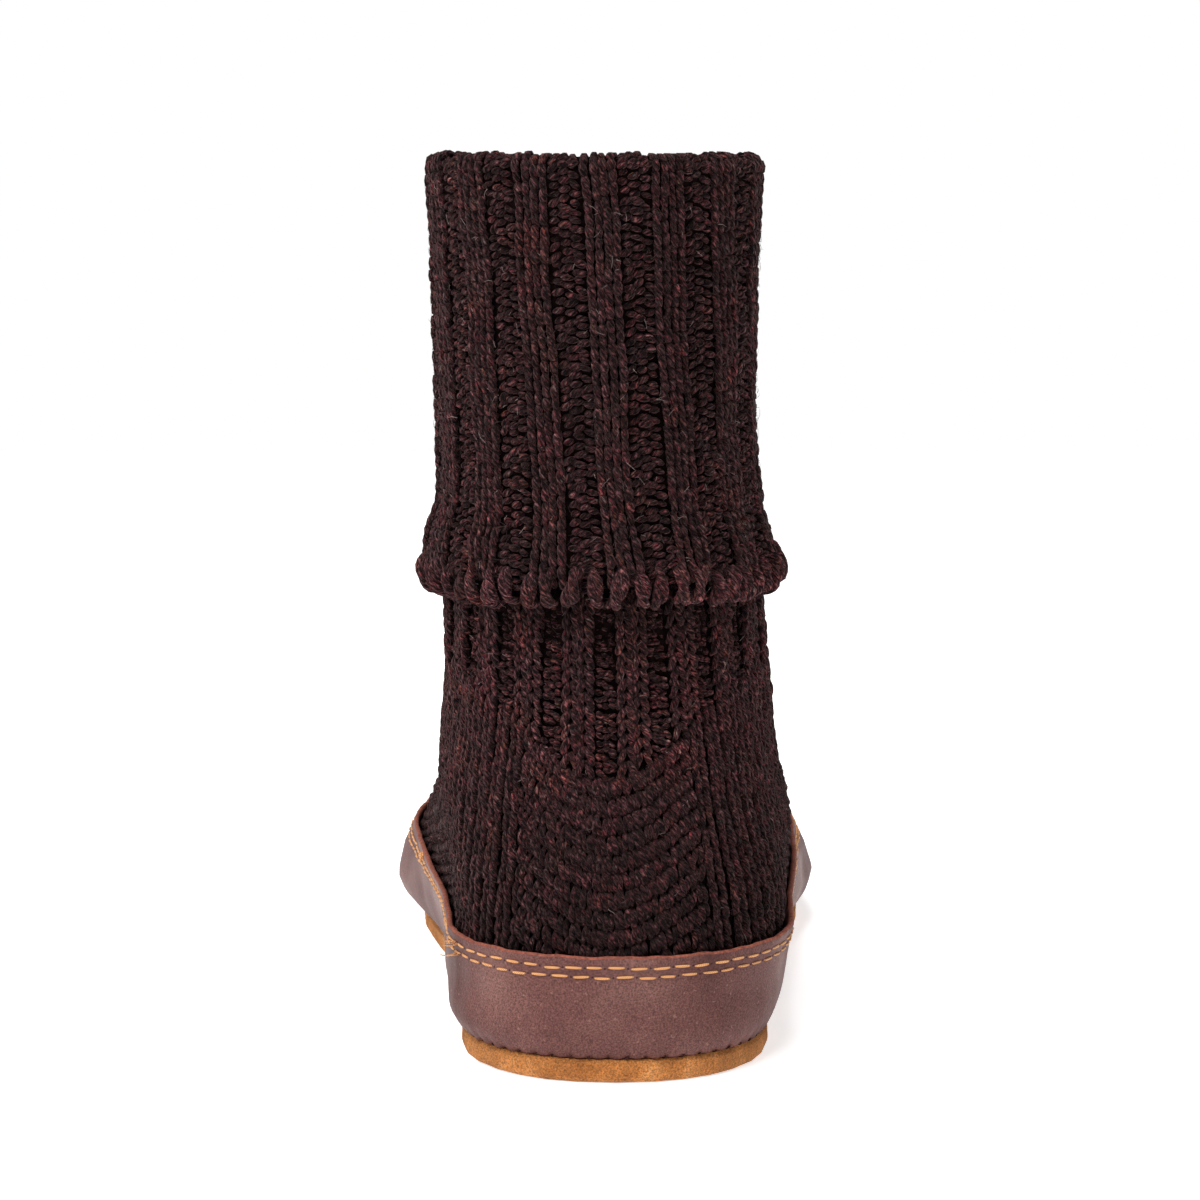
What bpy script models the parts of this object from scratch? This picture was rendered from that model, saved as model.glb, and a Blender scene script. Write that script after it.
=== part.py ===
"""A slipper sock for the left foot: a knitted sock with a turned-down cuff, a leather side
wall stitched round the foot, a suede outsole and a padded insole.

The heel is at -Y, the toe at +Y, the outer side of the foot at -X. The sole stands on Z = 0
and the origin is under the middle of the shoe. Tables are in millimetres, in a frame that
starts at the back of the heel; meshes are in metres.
"""
from collections import namedtuple
import math

import bmesh
import bpy
import numpy as np

MM = 0.001

# Driving dimensions, in millimetres.
LENGTH = 272.0
HEIGHT = 206.0
KNIT_WALL = 2.8
LEATHER = 1.8
GAP = 0.3
SOLE_THICKNESS = 5.4
SOLE_LIP = 0.5
SOLE_EDGE_ROUND = 1.5
SOLE_EDGE_SHARE = 0.3
SOLE_SEAM_BEVEL = 0.9
SOLE_BORDER = 6.0
INSOLE_THICKNESS = 3.0
INSOLE_BEVEL = 0.8
BULGE_HEIGHT = 14.0
FOLD_GAP = 0.5
TOE_SPRING = 6.0
TOE_SPRING_START = 206.0
ARCH_RISE = 1.2
ARCH_START = 76.0
ARCH_END = 136.0
LIFT_FADES_AT = 60.0
TOE_SWING = 4.0
LEG_TOP = HEIGHT - KNIT_WALL - FOLD_GAP / 2.0

# How finely the forms are divided.
SIDE_STEPS = 26
FOLD_STEPS = 6
PROFILE_SAMPLES = 400
TURN_WEIGHT = 45.0
SLOPE_STEP = 0.5

# Where the heel, waist and ball lie along a slice, as shares of its length.
OUTER_STATIONS = (0.0, 0.14, 0.40, 0.64, 1.0)
INNER_STATIONS = (0.0, 0.14, 0.42, 0.66, 1.0)

Slice = namedtuple("Slice", "height y_back y_front x_mid heel_l heel_r waist_l waist_r"
                            " ball_l ball_r cap_back cap_front")

# The outer face of the knit, sliced level by level. heel, waist and ball are half widths on
# the left and right; the caps are the shares of the length that round off the two ends.
SLICES = (
    #     height  back  front  x_mid  heel        waist       ball        caps
    Slice(5.7, 3.2, 263.0, 0.0, 33.1, 32.9, 38.0, 37.4, 48.4, 47.4, 0.135, 0.40),
    Slice(9.5, 2.3, 267.2, 0.0, 36.3, 35.3, 40.8, 40.4, 54.0, 51.4, 0.140, 0.41),
    Slice(14.0, 2.1, 269.9, 0.0, 36.9, 36.9, 42.8, 42.4, 56.0, 52.8, 0.143, 0.42),
    Slice(21.0, 2.2, 269.3, 0.0, 37.0, 38.0, 44.4, 43.8, 54.4, 50.4, 0.146, 0.42),
    Slice(29.0, 2.6, 266.2, 0.0, 37.2, 39.8, 45.2, 44.4, 51.0, 46.0, 0.150, 0.41),
    Slice(38.0, 3.2, 257.0, -0.1, 37.6, 39.8, 44.6, 44.6, 47.8, 45.2, 0.156, 0.38),
    Slice(46.0, 4.4, 240.0, -0.4, 37.8, 39.5, 43.5, 44.1, 44.1, 43.2, 0.175, 0.36),
    Slice(53.0, 6.0, 214.0, -0.9, 38.0, 39.2, 42.5, 42.9, 41.3, 41.0, 0.205, 0.42),
    Slice(61.0, 8.3, 181.0, -1.3, 38.4, 38.6, 41.2, 41.2, 39.4, 39.0, 0.245, 0.52),
    Slice(70.0, 10.4, 152.0, -1.6, 38.3, 38.4, 39.7, 39.6, 38.4, 38.0, 0.310, 0.57),
    Slice(78.0, 11.8, 130.0, -1.7, 38.1, 38.2, 38.8, 38.7, 38.0, 37.8, 0.380, 0.56),
    Slice(85.0, 12.5, 115.0, -1.9, 38.0, 38.0, 38.2, 38.2, 38.0, 38.0, 0.430, 0.53),
    Slice(92.0, 13.0, 104.0, -2.1, 37.9, 37.9, 37.9, 37.9, 37.9, 37.9, 0.470, 0.51),
    Slice(100.0, 13.2, 96.0, -2.4, 37.7, 37.7, 37.7, 37.7, 37.7, 37.7, 0.5, 0.5),
    Slice(109.0, 13.3, 90.8, -2.8, 36.9, 36.9, 36.9, 36.9, 36.9, 36.9, 0.5, 0.5),
    Slice(122.0, 13.9, 86.5, -3.5, 34.9, 34.9, 34.9, 34.9, 34.9, 34.9, 0.5, 0.5),
    Slice(148.0, 14.9, 83.1, -4.5, 34.1, 34.1, 34.1, 34.1, 34.1, 34.1, 0.5, 0.5),
    Slice(LEG_TOP, 13.4, 84.6, -4.7, 35.6, 35.6, 35.6, 35.6, 35.6, 35.6, 0.5, 0.5),
)
CAP_POWER = 2.3

# The levels of the rings: behind the side wall, and from its rim up to the fold.
WALL_LEVELS = (5.7, 7.5, 10.0, 14.0, 21.0, 29.0)
LEG_LEVELS = (33.5, 38.0, 42.0, 46.0, 49.5, 53.0, 57.0, 61.0, 65.5, 70.0, 74.0, 78.0, 82.0,
              87.0, 92.0, 98.0, 104.0, 111.0, 122.0, 134.0, 148.0, 175.0, LEG_TOP)

CuffRing = namedtuple("CuffRing", "height radius_x radius_y x_mid y_mid wall")

# The outer face of the cuff, from under the fold down to its flared edge.
CUFF = (
    CuffRing(196.0, 38.6, 38.6, -4.7, 49.0, 2.8),
    CuffRing(180.0, 38.0, 38.0, -4.7, 49.0, 2.8),
    CuffRing(164.0, 37.6, 37.6, -4.6, 49.0, 2.8),
    CuffRing(148.0, 37.4, 37.5, -4.5, 49.0, 2.8),
    CuffRing(134.0, 37.5, 37.9, -3.9, 49.2, 2.8),
    CuffRing(125.0, 38.2, 39.0, -3.6, 49.8, 2.8),
    CuffRing(119.0, 40.6, 41.6, -4.2, 50.6, 2.8),
    CuffRing(113.5, 41.5, 42.8, -3.5, 51.2, 2.8),
    CuffRing(109.0, 40.7, 42.0, -3.0, 51.6, 2.6),
    CuffRing(105.5, 39.4, 41.2, -2.9, 51.9, 1.4),
)

Finish = namedtuple("Finish", "color roughness")

FINISHES = {
    "sock_upper": Finish((0.035, 0.014, 0.014), 0.95),
    "side_wall": Finish((0.17, 0.085, 0.085), 0.55),
    "outsole": Finish((0.50, 0.19, 0.05), 0.95),
    "insole": Finish((0.36, 0.27, 0.20), 0.95),
}


def clear_scene():
    """Removes every object of the scene."""
    for obj in list(bpy.data.objects):
        bpy.data.objects.remove(obj, do_unlink=True)


def smooth_curve(knots, values, at):
    """A cubic through the knots that never overshoots them."""
    knots = np.asarray(knots, float)
    values = np.asarray(values, float)
    at = np.clip(at, knots[0], knots[-1])
    steps = np.diff(knots)
    rises = np.diff(values) / steps
    slopes = np.zeros(len(knots))
    for i in range(1, len(knots) - 1):
        if rises[i - 1] * rises[i] > 0.0:
            before = steps[i] + 2.0 * steps[i - 1]
            after = 2.0 * steps[i] + steps[i - 1]
            slopes[i] = (before + after) / (after / rises[i - 1] + before / rises[i])
    slopes[0] = rises[0]
    slopes[-1] = rises[-1]
    i = np.clip(np.searchsorted(knots, at, side="right") - 1, 0, len(steps) - 1)
    t = (at - knots[i]) / steps[i]
    rest = 1.0 - t
    return (values[i] * (1.0 + 2.0 * t) * rest**2 + slopes[i] * steps[i] * t * rest**2
            + values[i + 1] * t**2 * (3.0 - 2.0 * t) - slopes[i + 1] * steps[i] * t**2 * rest)


def slice_at(height):
    """The slice at any height, read between the rows of the table."""
    heights = [row.height for row in SLICES]
    columns = zip(*SLICES)
    return Slice(*[float(smooth_curve(heights, column, height)) for column in columns])


def end_cap(share, cap):
    """Rises from 0 at an end of the slice to 1 where its cap stops, as a round nose does."""
    t = np.clip(share / cap, 0.0, 1.0)
    power = 2.0 + (CAP_POWER - 2.0) * (0.5 - cap) / 0.5
    return (1.0 - (1.0 - t) ** power) ** (1.0 / power)


def outer_half(cut, share):
    """The half width on the outer side of the foot, at shares of the slice's length."""
    widths = (cut.heel_l, cut.heel_l, cut.waist_l, cut.ball_l, cut.ball_l)
    body = smooth_curve(OUTER_STATIONS, widths, share)
    return body * end_cap(share, cut.cap_back) * end_cap(1.0 - share, cut.cap_front)


def inner_half(cut, share):
    """The half width on the inner side of the foot, at shares of the slice's length."""
    widths = (cut.heel_r, cut.heel_r, cut.waist_r, cut.ball_r, cut.ball_r)
    body = smooth_curve(INNER_STATIONS, widths, share)
    return body * end_cap(share, cut.cap_back) * end_cap(1.0 - share, cut.cap_front)


def lift(y, height):
    """How far the toe spring raises a point, fading out above the foot."""
    t = np.clip((y - TOE_SPRING_START) / (LENGTH - TOE_SPRING_START), 0.0, 1.0)
    fade = np.clip(1.0 - height / LIFT_FADES_AT, 0.0, 1.0)
    return TOE_SPRING * t**2 * fade


def side_shares(cut):
    """Shares of the length that divide a side of the slice, closer together where it turns."""
    share = (1.0 - np.cos(np.linspace(0.0, math.pi, PROFILE_SAMPLES))) / 2.0
    across = np.diff((outer_half(cut, share) + inner_half(cut, share)) / 2.0)
    ahead = np.diff(share * (cut.y_front - cut.y_back))
    turned = math.pi / 2.0 - np.arctan2(across, ahead)
    effort = np.cumsum(np.hypot(ahead, across)) + TURN_WEIGHT * (turned - turned[0])
    effort = np.concatenate([[0.0], effort])
    return np.interp(np.linspace(0.0, effort[-1], SIDE_STEPS + 1), effort, share)


def knit_ring(height):
    """The closed ring of the knit's outer face at a height: back, right side, toe, left."""
    cut = slice_at(height)
    share = side_shares(cut)
    across = np.concatenate([inner_half(cut, share), -outer_half(cut, share)[-2:0:-1]])
    share = np.concatenate([share, share[-2:0:-1]])
    y = cut.y_back + share * (cut.y_front - cut.y_back)
    swing = TOE_SWING * np.clip((y - TOE_SPRING_START) / (LENGTH - TOE_SPRING_START), 0.0, 1.0)
    x = cut.x_mid + across + swing
    return np.stack([x, y, height + lift(y, height)], axis=1)


def offset_ring(height, distance):
    """The knit's ring moved out by a distance: level below the bulge, square to it above."""
    ring = knit_ring(height)
    around = np.roll(ring, -1, axis=0) - np.roll(ring, 1, axis=0)
    if height <= BULGE_HEIGHT:
        upward = np.array([0.0, 0.0, 1.0])
    else:
        upward = knit_ring(min(height + SLOPE_STEP, LEG_TOP)) - knit_ring(height - SLOPE_STEP)
    out = np.cross(around, upward)
    return ring + out / np.linalg.norm(out, axis=1)[:, None] * distance


def round_ring(radius_x, radius_y, x_mid, y_mid, height):
    """An oval ring of the cuff, divided as the knit's rings are."""
    turn = np.linspace(0.0, 2.0 * math.pi, 2 * SIDE_STEPS, endpoint=False)
    return np.stack([x_mid + radius_x * np.sin(turn), y_mid - radius_y * np.cos(turn),
                     np.full(len(turn), height)], axis=1)


def centre():
    """The middle of the shoe in the tables' frame, which becomes the origin."""
    widest = offset_ring(BULGE_HEIGHT, GAP + LEATHER)
    return np.array([(widest[:, 0].min() + widest[:, 0].max()) / 2.0, LENGTH / 2.0, 0.0])


def add_ring(bm, ring):
    """The ring's points as vertices, in metres about the origin."""
    return [bm.verts.new(point) for point in (ring - centre()) * MM]


def bridge(bm, first, second):
    """A band of triangles between two rings, whose diagonals climb the same way on any face."""
    count = len(first)
    for i in range(count):
        j = (i + 1) % count
        if second[i].co.z >= first[i].co.z:
            bm.faces.new((first[i], first[j], second[j]))
            bm.faces.new((first[i], second[j], second[i]))
        else:
            bm.faces.new((first[i], first[j], second[i]))
            bm.faces.new((first[j], second[j], second[i]))


def close_across(bm, ring, upward):
    """Closes a ring by rungs from its right side to its left."""
    count = len(ring)
    half = count // 2
    for i in range(half):
        corners = [ring[i], ring[i + 1], ring[(count - i - 1) % count], ring[(count - i) % count]]
        corners = list(dict.fromkeys(corners))
        bm.faces.new(corners if upward else corners[::-1])


def finish_object(name, bm):
    """Makes the named object from the mesh, in its own finish."""
    mesh = bpy.data.meshes.new(name)
    bm.to_mesh(mesh)
    bm.free()
    mesh.shade_smooth()
    obj = bpy.data.objects.new(name, mesh)
    bpy.context.scene.collection.objects.link(obj)
    material = bpy.data.materials.new(name)
    material.use_nodes = True
    shader = material.node_tree.nodes["Principled BSDF"]
    shader.inputs["Base Color"].default_value = (*FINISHES[name].color, 1.0)
    shader.inputs["Roughness"].default_value = FINISHES[name].roughness
    shader.inputs["Metallic"].default_value = 0.0
    mesh.materials.append(material)
    return obj


def cuff_rings(inward):
    """The rings of the fold and the cuff, on one face of the turned-down knit."""
    leg_top = SLICES[-1]
    y_mid = (leg_top.y_back + leg_top.y_front) / 2.0
    crease = leg_top.heel_l + FOLD_GAP / 2.0
    bend = FOLD_GAP / 2.0 + inward
    rings = []
    for i in range(1, FOLD_STEPS):
        turn = math.pi * i / FOLD_STEPS
        out = crease - bend * math.cos(turn)
        up = leg_top.height + bend * math.sin(turn)
        rings.append(round_ring(out, out, leg_top.x_mid, y_mid, up))
    rings.append(round_ring(crease + bend, crease + bend, leg_top.x_mid, y_mid, LEG_TOP))
    for row in CUFF:
        thin = row.wall * (1.0 - inward / KNIT_WALL)
        rings.append(round_ring(row.radius_x - thin, row.radius_y - thin, row.x_mid,
                                row.y_mid, row.height))
    return rings


def make_sock_upper():
    """The knitted sock: up the foot and leg, over the fold and down the cuff, both faces."""
    bm = bmesh.new()
    levels = WALL_LEVELS + LEG_LEVELS
    outside = [offset_ring(level, 0.0) for level in levels] + cuff_rings(0.0)
    inside = [offset_ring(level, -KNIT_WALL) for level in levels] + cuff_rings(KNIT_WALL)
    rows = [add_ring(bm, ring) for ring in outside + inside[::-1]]
    for lower, upper in zip(rows, rows[1:] + rows[:1]):
        bridge(bm, lower, upper)
    return finish_object("sock_upper", bm)


def make_side_wall():
    """The leather strip round the foot, from the sole's seam to the cut rim."""
    bm = bmesh.new()
    outer = [offset_ring(level, GAP + LEATHER) for level in WALL_LEVELS]
    inner = [offset_ring(level, GAP) for level in WALL_LEVELS]
    rows = [add_ring(bm, ring) for ring in outer + inner[::-1]]
    for lower, upper in zip(rows, rows[1:] + rows[:1]):
        bridge(bm, lower, upper)
    return finish_object("side_wall", bm)


def make_outsole():
    """The suede sole: rounded edge, flat heel and forefoot, low arch and toe spring."""
    bm = bmesh.new()
    edge = GAP + LEATHER + SOLE_LIP
    corner = SOLE_EDGE_SHARE * SOLE_EDGE_ROUND
    profile = (
        (-SOLE_EDGE_ROUND, 0.0),
        (-corner, corner),
        (0.0, SOLE_EDGE_ROUND),
        (0.0, SOLE_THICKNESS - SOLE_SEAM_BEVEL),
        (-SOLE_SEAM_BEVEL, SOLE_THICKNESS),
    )
    rings = []
    for out, height in profile:
        ring = offset_ring(SLICES[0].height, edge + out)
        ring[:, 2] += height - SLICES[0].height
        rings.append(ring)
    inside = offset_ring(SLICES[0].height, edge - SOLE_BORDER)
    inside[:, 2] -= SLICES[0].height
    t = np.clip((inside[:, 1] - ARCH_START) / (ARCH_END - ARCH_START), 0.0, 1.0)
    inside[:, 2] += ARCH_RISE * np.sin(math.pi * t) ** 2
    rows = [add_ring(bm, ring) for ring in [inside] + rings]
    for lower, upper in zip(rows, rows[1:]):
        bridge(bm, lower, upper)
    close_across(bm, rows[0], upward=False)
    close_across(bm, rows[-1], upward=True)
    return finish_object("outsole", bm)


def make_insole():
    """The insole that lies inside the knit, on the outsole."""
    bm = bmesh.new()
    bottom = SLICES[0].height
    top = bottom + INSOLE_THICKNESS
    inset = KNIT_WALL + GAP
    rows = [
        add_ring(bm, offset_ring(bottom, -inset)),
        add_ring(bm, offset_ring(top - INSOLE_BEVEL, -inset)),
        add_ring(bm, offset_ring(top, -inset - INSOLE_BEVEL)),
    ]
    for lower, upper in zip(rows, rows[1:]):
        bridge(bm, lower, upper)
    close_across(bm, rows[0], upward=False)
    close_across(bm, rows[-1], upward=True)
    return finish_object("insole", bm)


def main():
    clear_scene()
    make_outsole()
    make_insole()
    make_side_wall()
    make_sock_upper()


main()
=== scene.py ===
"""The look of a slipper sock for the left foot.

Yarn is laid stitch by stitch over the knit's own form: a ribbed cuff with cast-on loops, a
ribbed leg and instep, and a plain-knit heel and sides. Leather, suede, felt and sewing thread
are built on the side wall, the outsole and the insole. Lengths are in metres; the heel is at
-Y, the toe at +Y, the outer side of the foot at -X.
"""

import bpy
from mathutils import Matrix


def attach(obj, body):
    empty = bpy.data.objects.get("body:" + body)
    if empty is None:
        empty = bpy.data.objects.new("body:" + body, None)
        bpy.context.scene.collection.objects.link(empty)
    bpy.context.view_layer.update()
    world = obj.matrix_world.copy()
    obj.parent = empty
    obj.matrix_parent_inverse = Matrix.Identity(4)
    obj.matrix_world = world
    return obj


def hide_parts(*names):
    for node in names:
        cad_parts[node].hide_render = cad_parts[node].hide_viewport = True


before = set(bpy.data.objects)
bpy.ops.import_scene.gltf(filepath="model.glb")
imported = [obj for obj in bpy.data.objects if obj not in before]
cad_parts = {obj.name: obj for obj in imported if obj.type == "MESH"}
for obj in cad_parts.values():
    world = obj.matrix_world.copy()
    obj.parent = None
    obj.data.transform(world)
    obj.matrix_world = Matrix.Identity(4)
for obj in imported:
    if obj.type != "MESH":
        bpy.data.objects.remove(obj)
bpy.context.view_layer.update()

import logging
import math
from dataclasses import dataclass, field
from enum import Enum

import bpy
import numpy as np
from mathutils import Vector
from mathutils.bvhtree import BVHTree

LOG = logging.getLogger("slipper_sock")
MM = 0.001
YARN_MAP = "yarn"
TONE = "tone"
UP = np.array([0.0, 0.0, 1.0])


class Side(Enum):
    """Which way a thing leans or lies across the foot."""

    OUTER = -1
    INNER = 1


class Face(Enum):
    """The two faces of the knit."""

    OUTSIDE = "outside"
    INSIDE = "inside"


class Mixing(Enum):
    """How a second colour goes with the first."""

    OVER = "MIX"
    TIMES = "MULTIPLY"


class Gauge(Enum):
    """How closely the two-by-one rib is knitted."""

    FINE = "fine"
    COARSE = "coarse"


# ---------------------------------------------------------------- finishes


def grey(level: float) -> tuple:
    """A grey, as a colour."""
    return (level,) * 3


class NodeBoard:
    """A small helper that lays and joins the nodes of one material."""

    MIX_INPUTS = (0, 6, 7)
    MIX_RESULT = 2

    def __init__(self, name: str) -> None:
        """Starts a material with a Principled shader.

        Args:
            name: The material's name.
        """
        self.material = bpy.data.materials.new(name)
        self.material.use_nodes = True
        self.tree = self.material.node_tree
        self.shader = self.tree.nodes["Principled BSDF"]

    def add(self, kind: str, links: dict | None = None, **settings: object) -> bpy.types.Node:
        """Adds a node.

        Args:
            kind: The node's type name, without the leading ShaderNode.
            links: Input name or index to the socket or value it takes.
            settings: Properties of the node itself.

        Returns:
            The new node.
        """
        node = self.tree.nodes.new("ShaderNode" + kind)
        for key, value in settings.items():
            setattr(node, key, value)
        for key, value in (links or {}).items():
            self.feed(node.inputs[key], value)
        return node

    def feed(self, socket: bpy.types.NodeSocket, value: object) -> None:
        """Links a socket to another, or sets its value.

        Args:
            socket: The input to feed.
            value: An output socket, or a plain value.
        """
        if isinstance(value, bpy.types.NodeSocket):
            self.tree.links.new(value, socket)
        else:
            socket.default_value = value

    def ramp(self, factor: bpy.types.NodeSocket, stops: list[tuple]) -> bpy.types.NodeSocket:
        """A colour ramp.

        Args:
            factor: What it reads.
            stops: Pairs of position and linear colour.

        Returns:
            The ramp's colour output.
        """
        node = self.add("ValToRGB", {"Fac": factor})
        marks = node.color_ramp.elements
        while len(marks) < len(stops):
            marks.new(0.5)
        for mark, (place, colour) in zip(marks, stops):
            mark.position = place
            mark.color = (*colour, 1.0)
        return node.outputs["Color"]

    def noise(self, vector: bpy.types.NodeSocket, scale: float, detail: float = 3.0,
              rough: float = 0.5) -> bpy.types.NodeSocket:
        """A noise texture.

        Args:
            vector: Where it is read.
            scale: Its cells per metre.
            detail: How many finer layers it has.
            rough: How strong the finer layers are.

        Returns:
            The factor output.
        """
        node = self.add("TexNoise", {"Vector": vector, "Scale": scale, "Detail": detail,
                                     "Roughness": rough})
        return node.outputs["Fac"]

    def place(self) -> bpy.types.NodeSocket:
        """Where a point of the piece lies, in metres."""
        return self.add("TexCoord").outputs["Object"]

    def cells(self, vector: bpy.types.NodeSocket, scale: float,
              **settings: object) -> bpy.types.NodeSocket:
        """The distance from the middles of small cells.

        Args:
            vector: Where they are read.
            scale: Cells per metre.
            settings: Properties of the node.

        Returns:
            The distance output.
        """
        node = self.add("TexVoronoi", {"Vector": vector, "Scale": scale}, **settings)
        return node.outputs["Distance"]

    def scaled(self, value: object, by: float, plus: float = 0.0) -> bpy.types.NodeSocket:
        """A number multiplied and then added to."""
        links = {0: value, 1: by, 2: plus}
        return self.add("Math", links, operation="MULTIPLY_ADD").outputs[0]

    def blend(self, factor: object, first: object, second: object,
              mixing: Mixing = Mixing.OVER) -> bpy.types.NodeSocket:
        """A mix of two colours.

        Args:
            factor: How much the second colour counts.
            first: The colour underneath.
            second: The colour that goes with it.
            mixing: How they go together.

        Returns:
            The mixed colour's output.
        """
        node = self.add("Mix", data_type="RGBA", blend_type=mixing.value)
        for index, value in zip(self.MIX_INPUTS, (factor, first, second)):
            self.feed(node.inputs[index], value)
        return node.outputs[self.MIX_RESULT]

    def tint(self, colour: object, by: object) -> bpy.types.NodeSocket:
        """A colour multiplied by another."""
        return self.blend(1.0, colour, by, Mixing.TIMES)

    def bump(self, height: bpy.types.NodeSocket, distance: float, strength: float = 1.0,
             under: bpy.types.NodeSocket | None = None) -> bpy.types.NodeSocket:
        """A bump.

        Args:
            height: What raises the surface.
            distance: How far, in metres.
            strength: How much of it counts.
            under: Another bump that it lies over.

        Returns:
            The normal output.
        """
        node = self.add("Bump", {"Height": height, "Distance": distance,
                                 "Strength": strength})
        if under is not None:
            self.feed(node.inputs["Normal"], under)
        return node.outputs["Normal"]

    def surface(self, **values: object) -> None:
        """Feeds the Principled shader.

        Args:
            values: Its sockets by name, with underscores for spaces.
        """
        for key, value in values.items():
            self.feed(self.shader.inputs[key.replace("_", " ")], value)


@dataclass(frozen=True)
class Dye:
    """Fibres of another colour, spun in where one channel of the heather is high."""

    channel: int
    colour: tuple
    above: float
    part: float


@dataclass(frozen=True)
class YarnFinish:
    """Heathered wool: dark brown with wine, rust, ash and olive fibres spun through it."""

    name: str = "heathered_yarn"
    deep: tuple = (0.0035, 0.0013, 0.0015)
    mid: tuple = (0.0228, 0.0062, 0.0075)
    worn: tuple = (0.1780, 0.0640, 0.0675)
    wine: Dye = Dye(0, (0.130, 0.022, 0.032), 0.590, 0.75)
    rust: Dye = Dye(1, (0.165, 0.050, 0.022), 0.650, 0.60)
    ash: Dye = Dye(2, (0.200, 0.145, 0.140), 0.630, 0.65)
    olive: tuple = (0.085, 0.064, 0.018)
    dye_edge: float = 0.055
    strand_grain: tuple = (800.0, 2700.0)
    dye_grain: tuple = (520.0, 1900.0)
    olive_grain: tuple = (480.0, 2100.0)
    tone_gain: float = 1.1
    tone_floor: float = 0.45
    patch_scale: float = 150.0
    warm_patch: tuple = ((0.36, (0.94, 1.00, 1.00)), (0.50, grey(1.0)),
                         (0.66, (1.26, 0.95, 0.97)))
    pale_patch: tuple = ((0.36, (0.84, 0.80, 0.84)), (0.50, grey(1.0)),
                         (0.64, (1.20, 1.18, 1.00)))
    mottle: tuple = ((0.37, grey(0.38)), (0.52, grey(0.96)), (0.64, (1.60, 1.52, 1.46)))
    mottle_scale: float = 780.0
    twist: float = -0.72
    ply_scale: float = 290.0
    ply_depth: float = 0.4 * MM
    strand_depth: float = 0.9 * MM

    def twisted(self, board: NodeBoard) -> bpy.types.NodeSocket:
        """The yarn's own map, turned by its twist.

        Args:
            board: The material's nodes.

        Returns:
            Where to read, along the fibres and across them.
        """
        place = board.add("UVMap", uv_map=YARN_MAP).outputs["UV"]
        turned = board.add("Mapping", {"Vector": place, "Rotation": (0.0, 0.0, self.twist)})
        return turned.outputs["Vector"]

    def fibres(self, board: NodeBoard, grain: tuple) -> bpy.types.Node:
        """A noise drawn out along the fibres.

        Args:
            board: The material's nodes.
            grain: Its cells per metre, along the fibres and across them.

        Returns:
            The noise's node.
        """
        drawn = board.add("Mapping", {"Vector": self.twisted(board), "Scale": (*grain, 1.0)})
        return board.add("TexNoise", {"Vector": drawn.outputs["Vector"], "Scale": 1.0,
                                      "Detail": 3.0, "Roughness": 0.6})

    def plies(self, board: NodeBoard) -> bpy.types.NodeSocket:
        """Soft bands across the twist.

        Args:
            board: The material's nodes.

        Returns:
            A number that is high on a ply and low in the groove between two.
        """
        bands = board.add("TexWave", {"Vector": self.twisted(board), "Scale": self.ply_scale,
                                      "Distortion": 2.2, "Detail": 2.0, "Detail Scale": 1.6},
                          bands_direction="Y")
        return bands.outputs["Fac"]

    def dyed(self, board: NodeBoard, colour: bpy.types.NodeSocket) -> bpy.types.NodeSocket:
        """Lays the fibres of other colours over the yarn's own.

        Args:
            board: The material's nodes.
            colour: The yarn's own colour.

        Returns:
            The heathered colour.
        """
        heather = self.fibres(board, self.dye_grain).outputs["Color"]
        channels = board.add("SeparateColor", {"Color": heather}).outputs
        for dye in (self.wine, self.rust, self.ash):
            mask = board.ramp(channels[dye.channel], [
                (dye.above, grey(0.0)), (dye.above + self.dye_edge, grey(dye.part))])
            colour = board.blend(mask, colour, (*dye.colour, 1.0))
        rare = board.ramp(self.fibres(board, self.olive_grain).outputs["Fac"],
                          [(0.675, grey(0.0)), (0.71, grey(0.8))])
        return board.blend(rare, colour, (*self.olive, 1.0))

    def tones(self, board: NodeBoard, colour: bpy.types.NodeSocket) -> bpy.types.NodeSocket:
        """Shades the yarn by each strand's tone, which holds painted shade and painted
        highlight on some strands, then in soft patches and in a fine mottle.

        Args:
            board: The material's nodes.
            colour: The heathered colour.

        Returns:
            The shaded colour.
        """
        tone = board.add("Attribute", attribute_name=TONE).outputs["Fac"]
        colour = board.tint(colour, board.scaled(tone, self.tone_gain, self.tone_floor))
        place = board.place()
        patch = board.add("TexNoise", {"Vector": place, "Scale": self.patch_scale,
                                       "Detail": 2.5})
        parts = board.add("SeparateColor", {"Color": patch.outputs["Color"]}).outputs
        colour = board.tint(colour, board.ramp(parts[0], self.warm_patch))
        colour = board.tint(colour, board.ramp(parts[1], self.pale_patch))
        mottle = board.noise(place, self.mottle_scale, 3.0, 0.6)
        return board.tint(colour, board.ramp(mottle, self.mottle))

    def build(self) -> bpy.types.Material:
        """Builds the yarn's material.

        Returns:
            The material, which reads the yarn's UV map and its tone.
        """
        board = NodeBoard(self.name)
        strands = self.fibres(board, self.strand_grain).outputs["Fac"]
        colour = board.ramp(strands, [(0.42, self.deep), (0.52, self.mid),
                                      (0.645, self.worn)])
        colour = self.tones(board, self.dyed(board, colour))
        plies = self.plies(board)
        # Painted shade: darker in the grooves between plies, a little brighter on the plies.
        groove = board.ramp(plies, [(0.0, grey(0.50)), (0.5, grey(1.10))])
        colour = board.tint(colour, groove)
        relief = board.bump(plies, self.ply_depth)
        relief = board.bump(strands, self.strand_depth, under=relief)
        board.surface(Base_Color=colour, Roughness=0.92, Normal=relief, Sheen_Weight=0.11,
                      Sheen_Roughness=0.38, Sheen_Tint=(0.90, 0.56, 0.54, 1.0),
                      Specular_IOR_Level=0.10)
        return board.material


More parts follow.
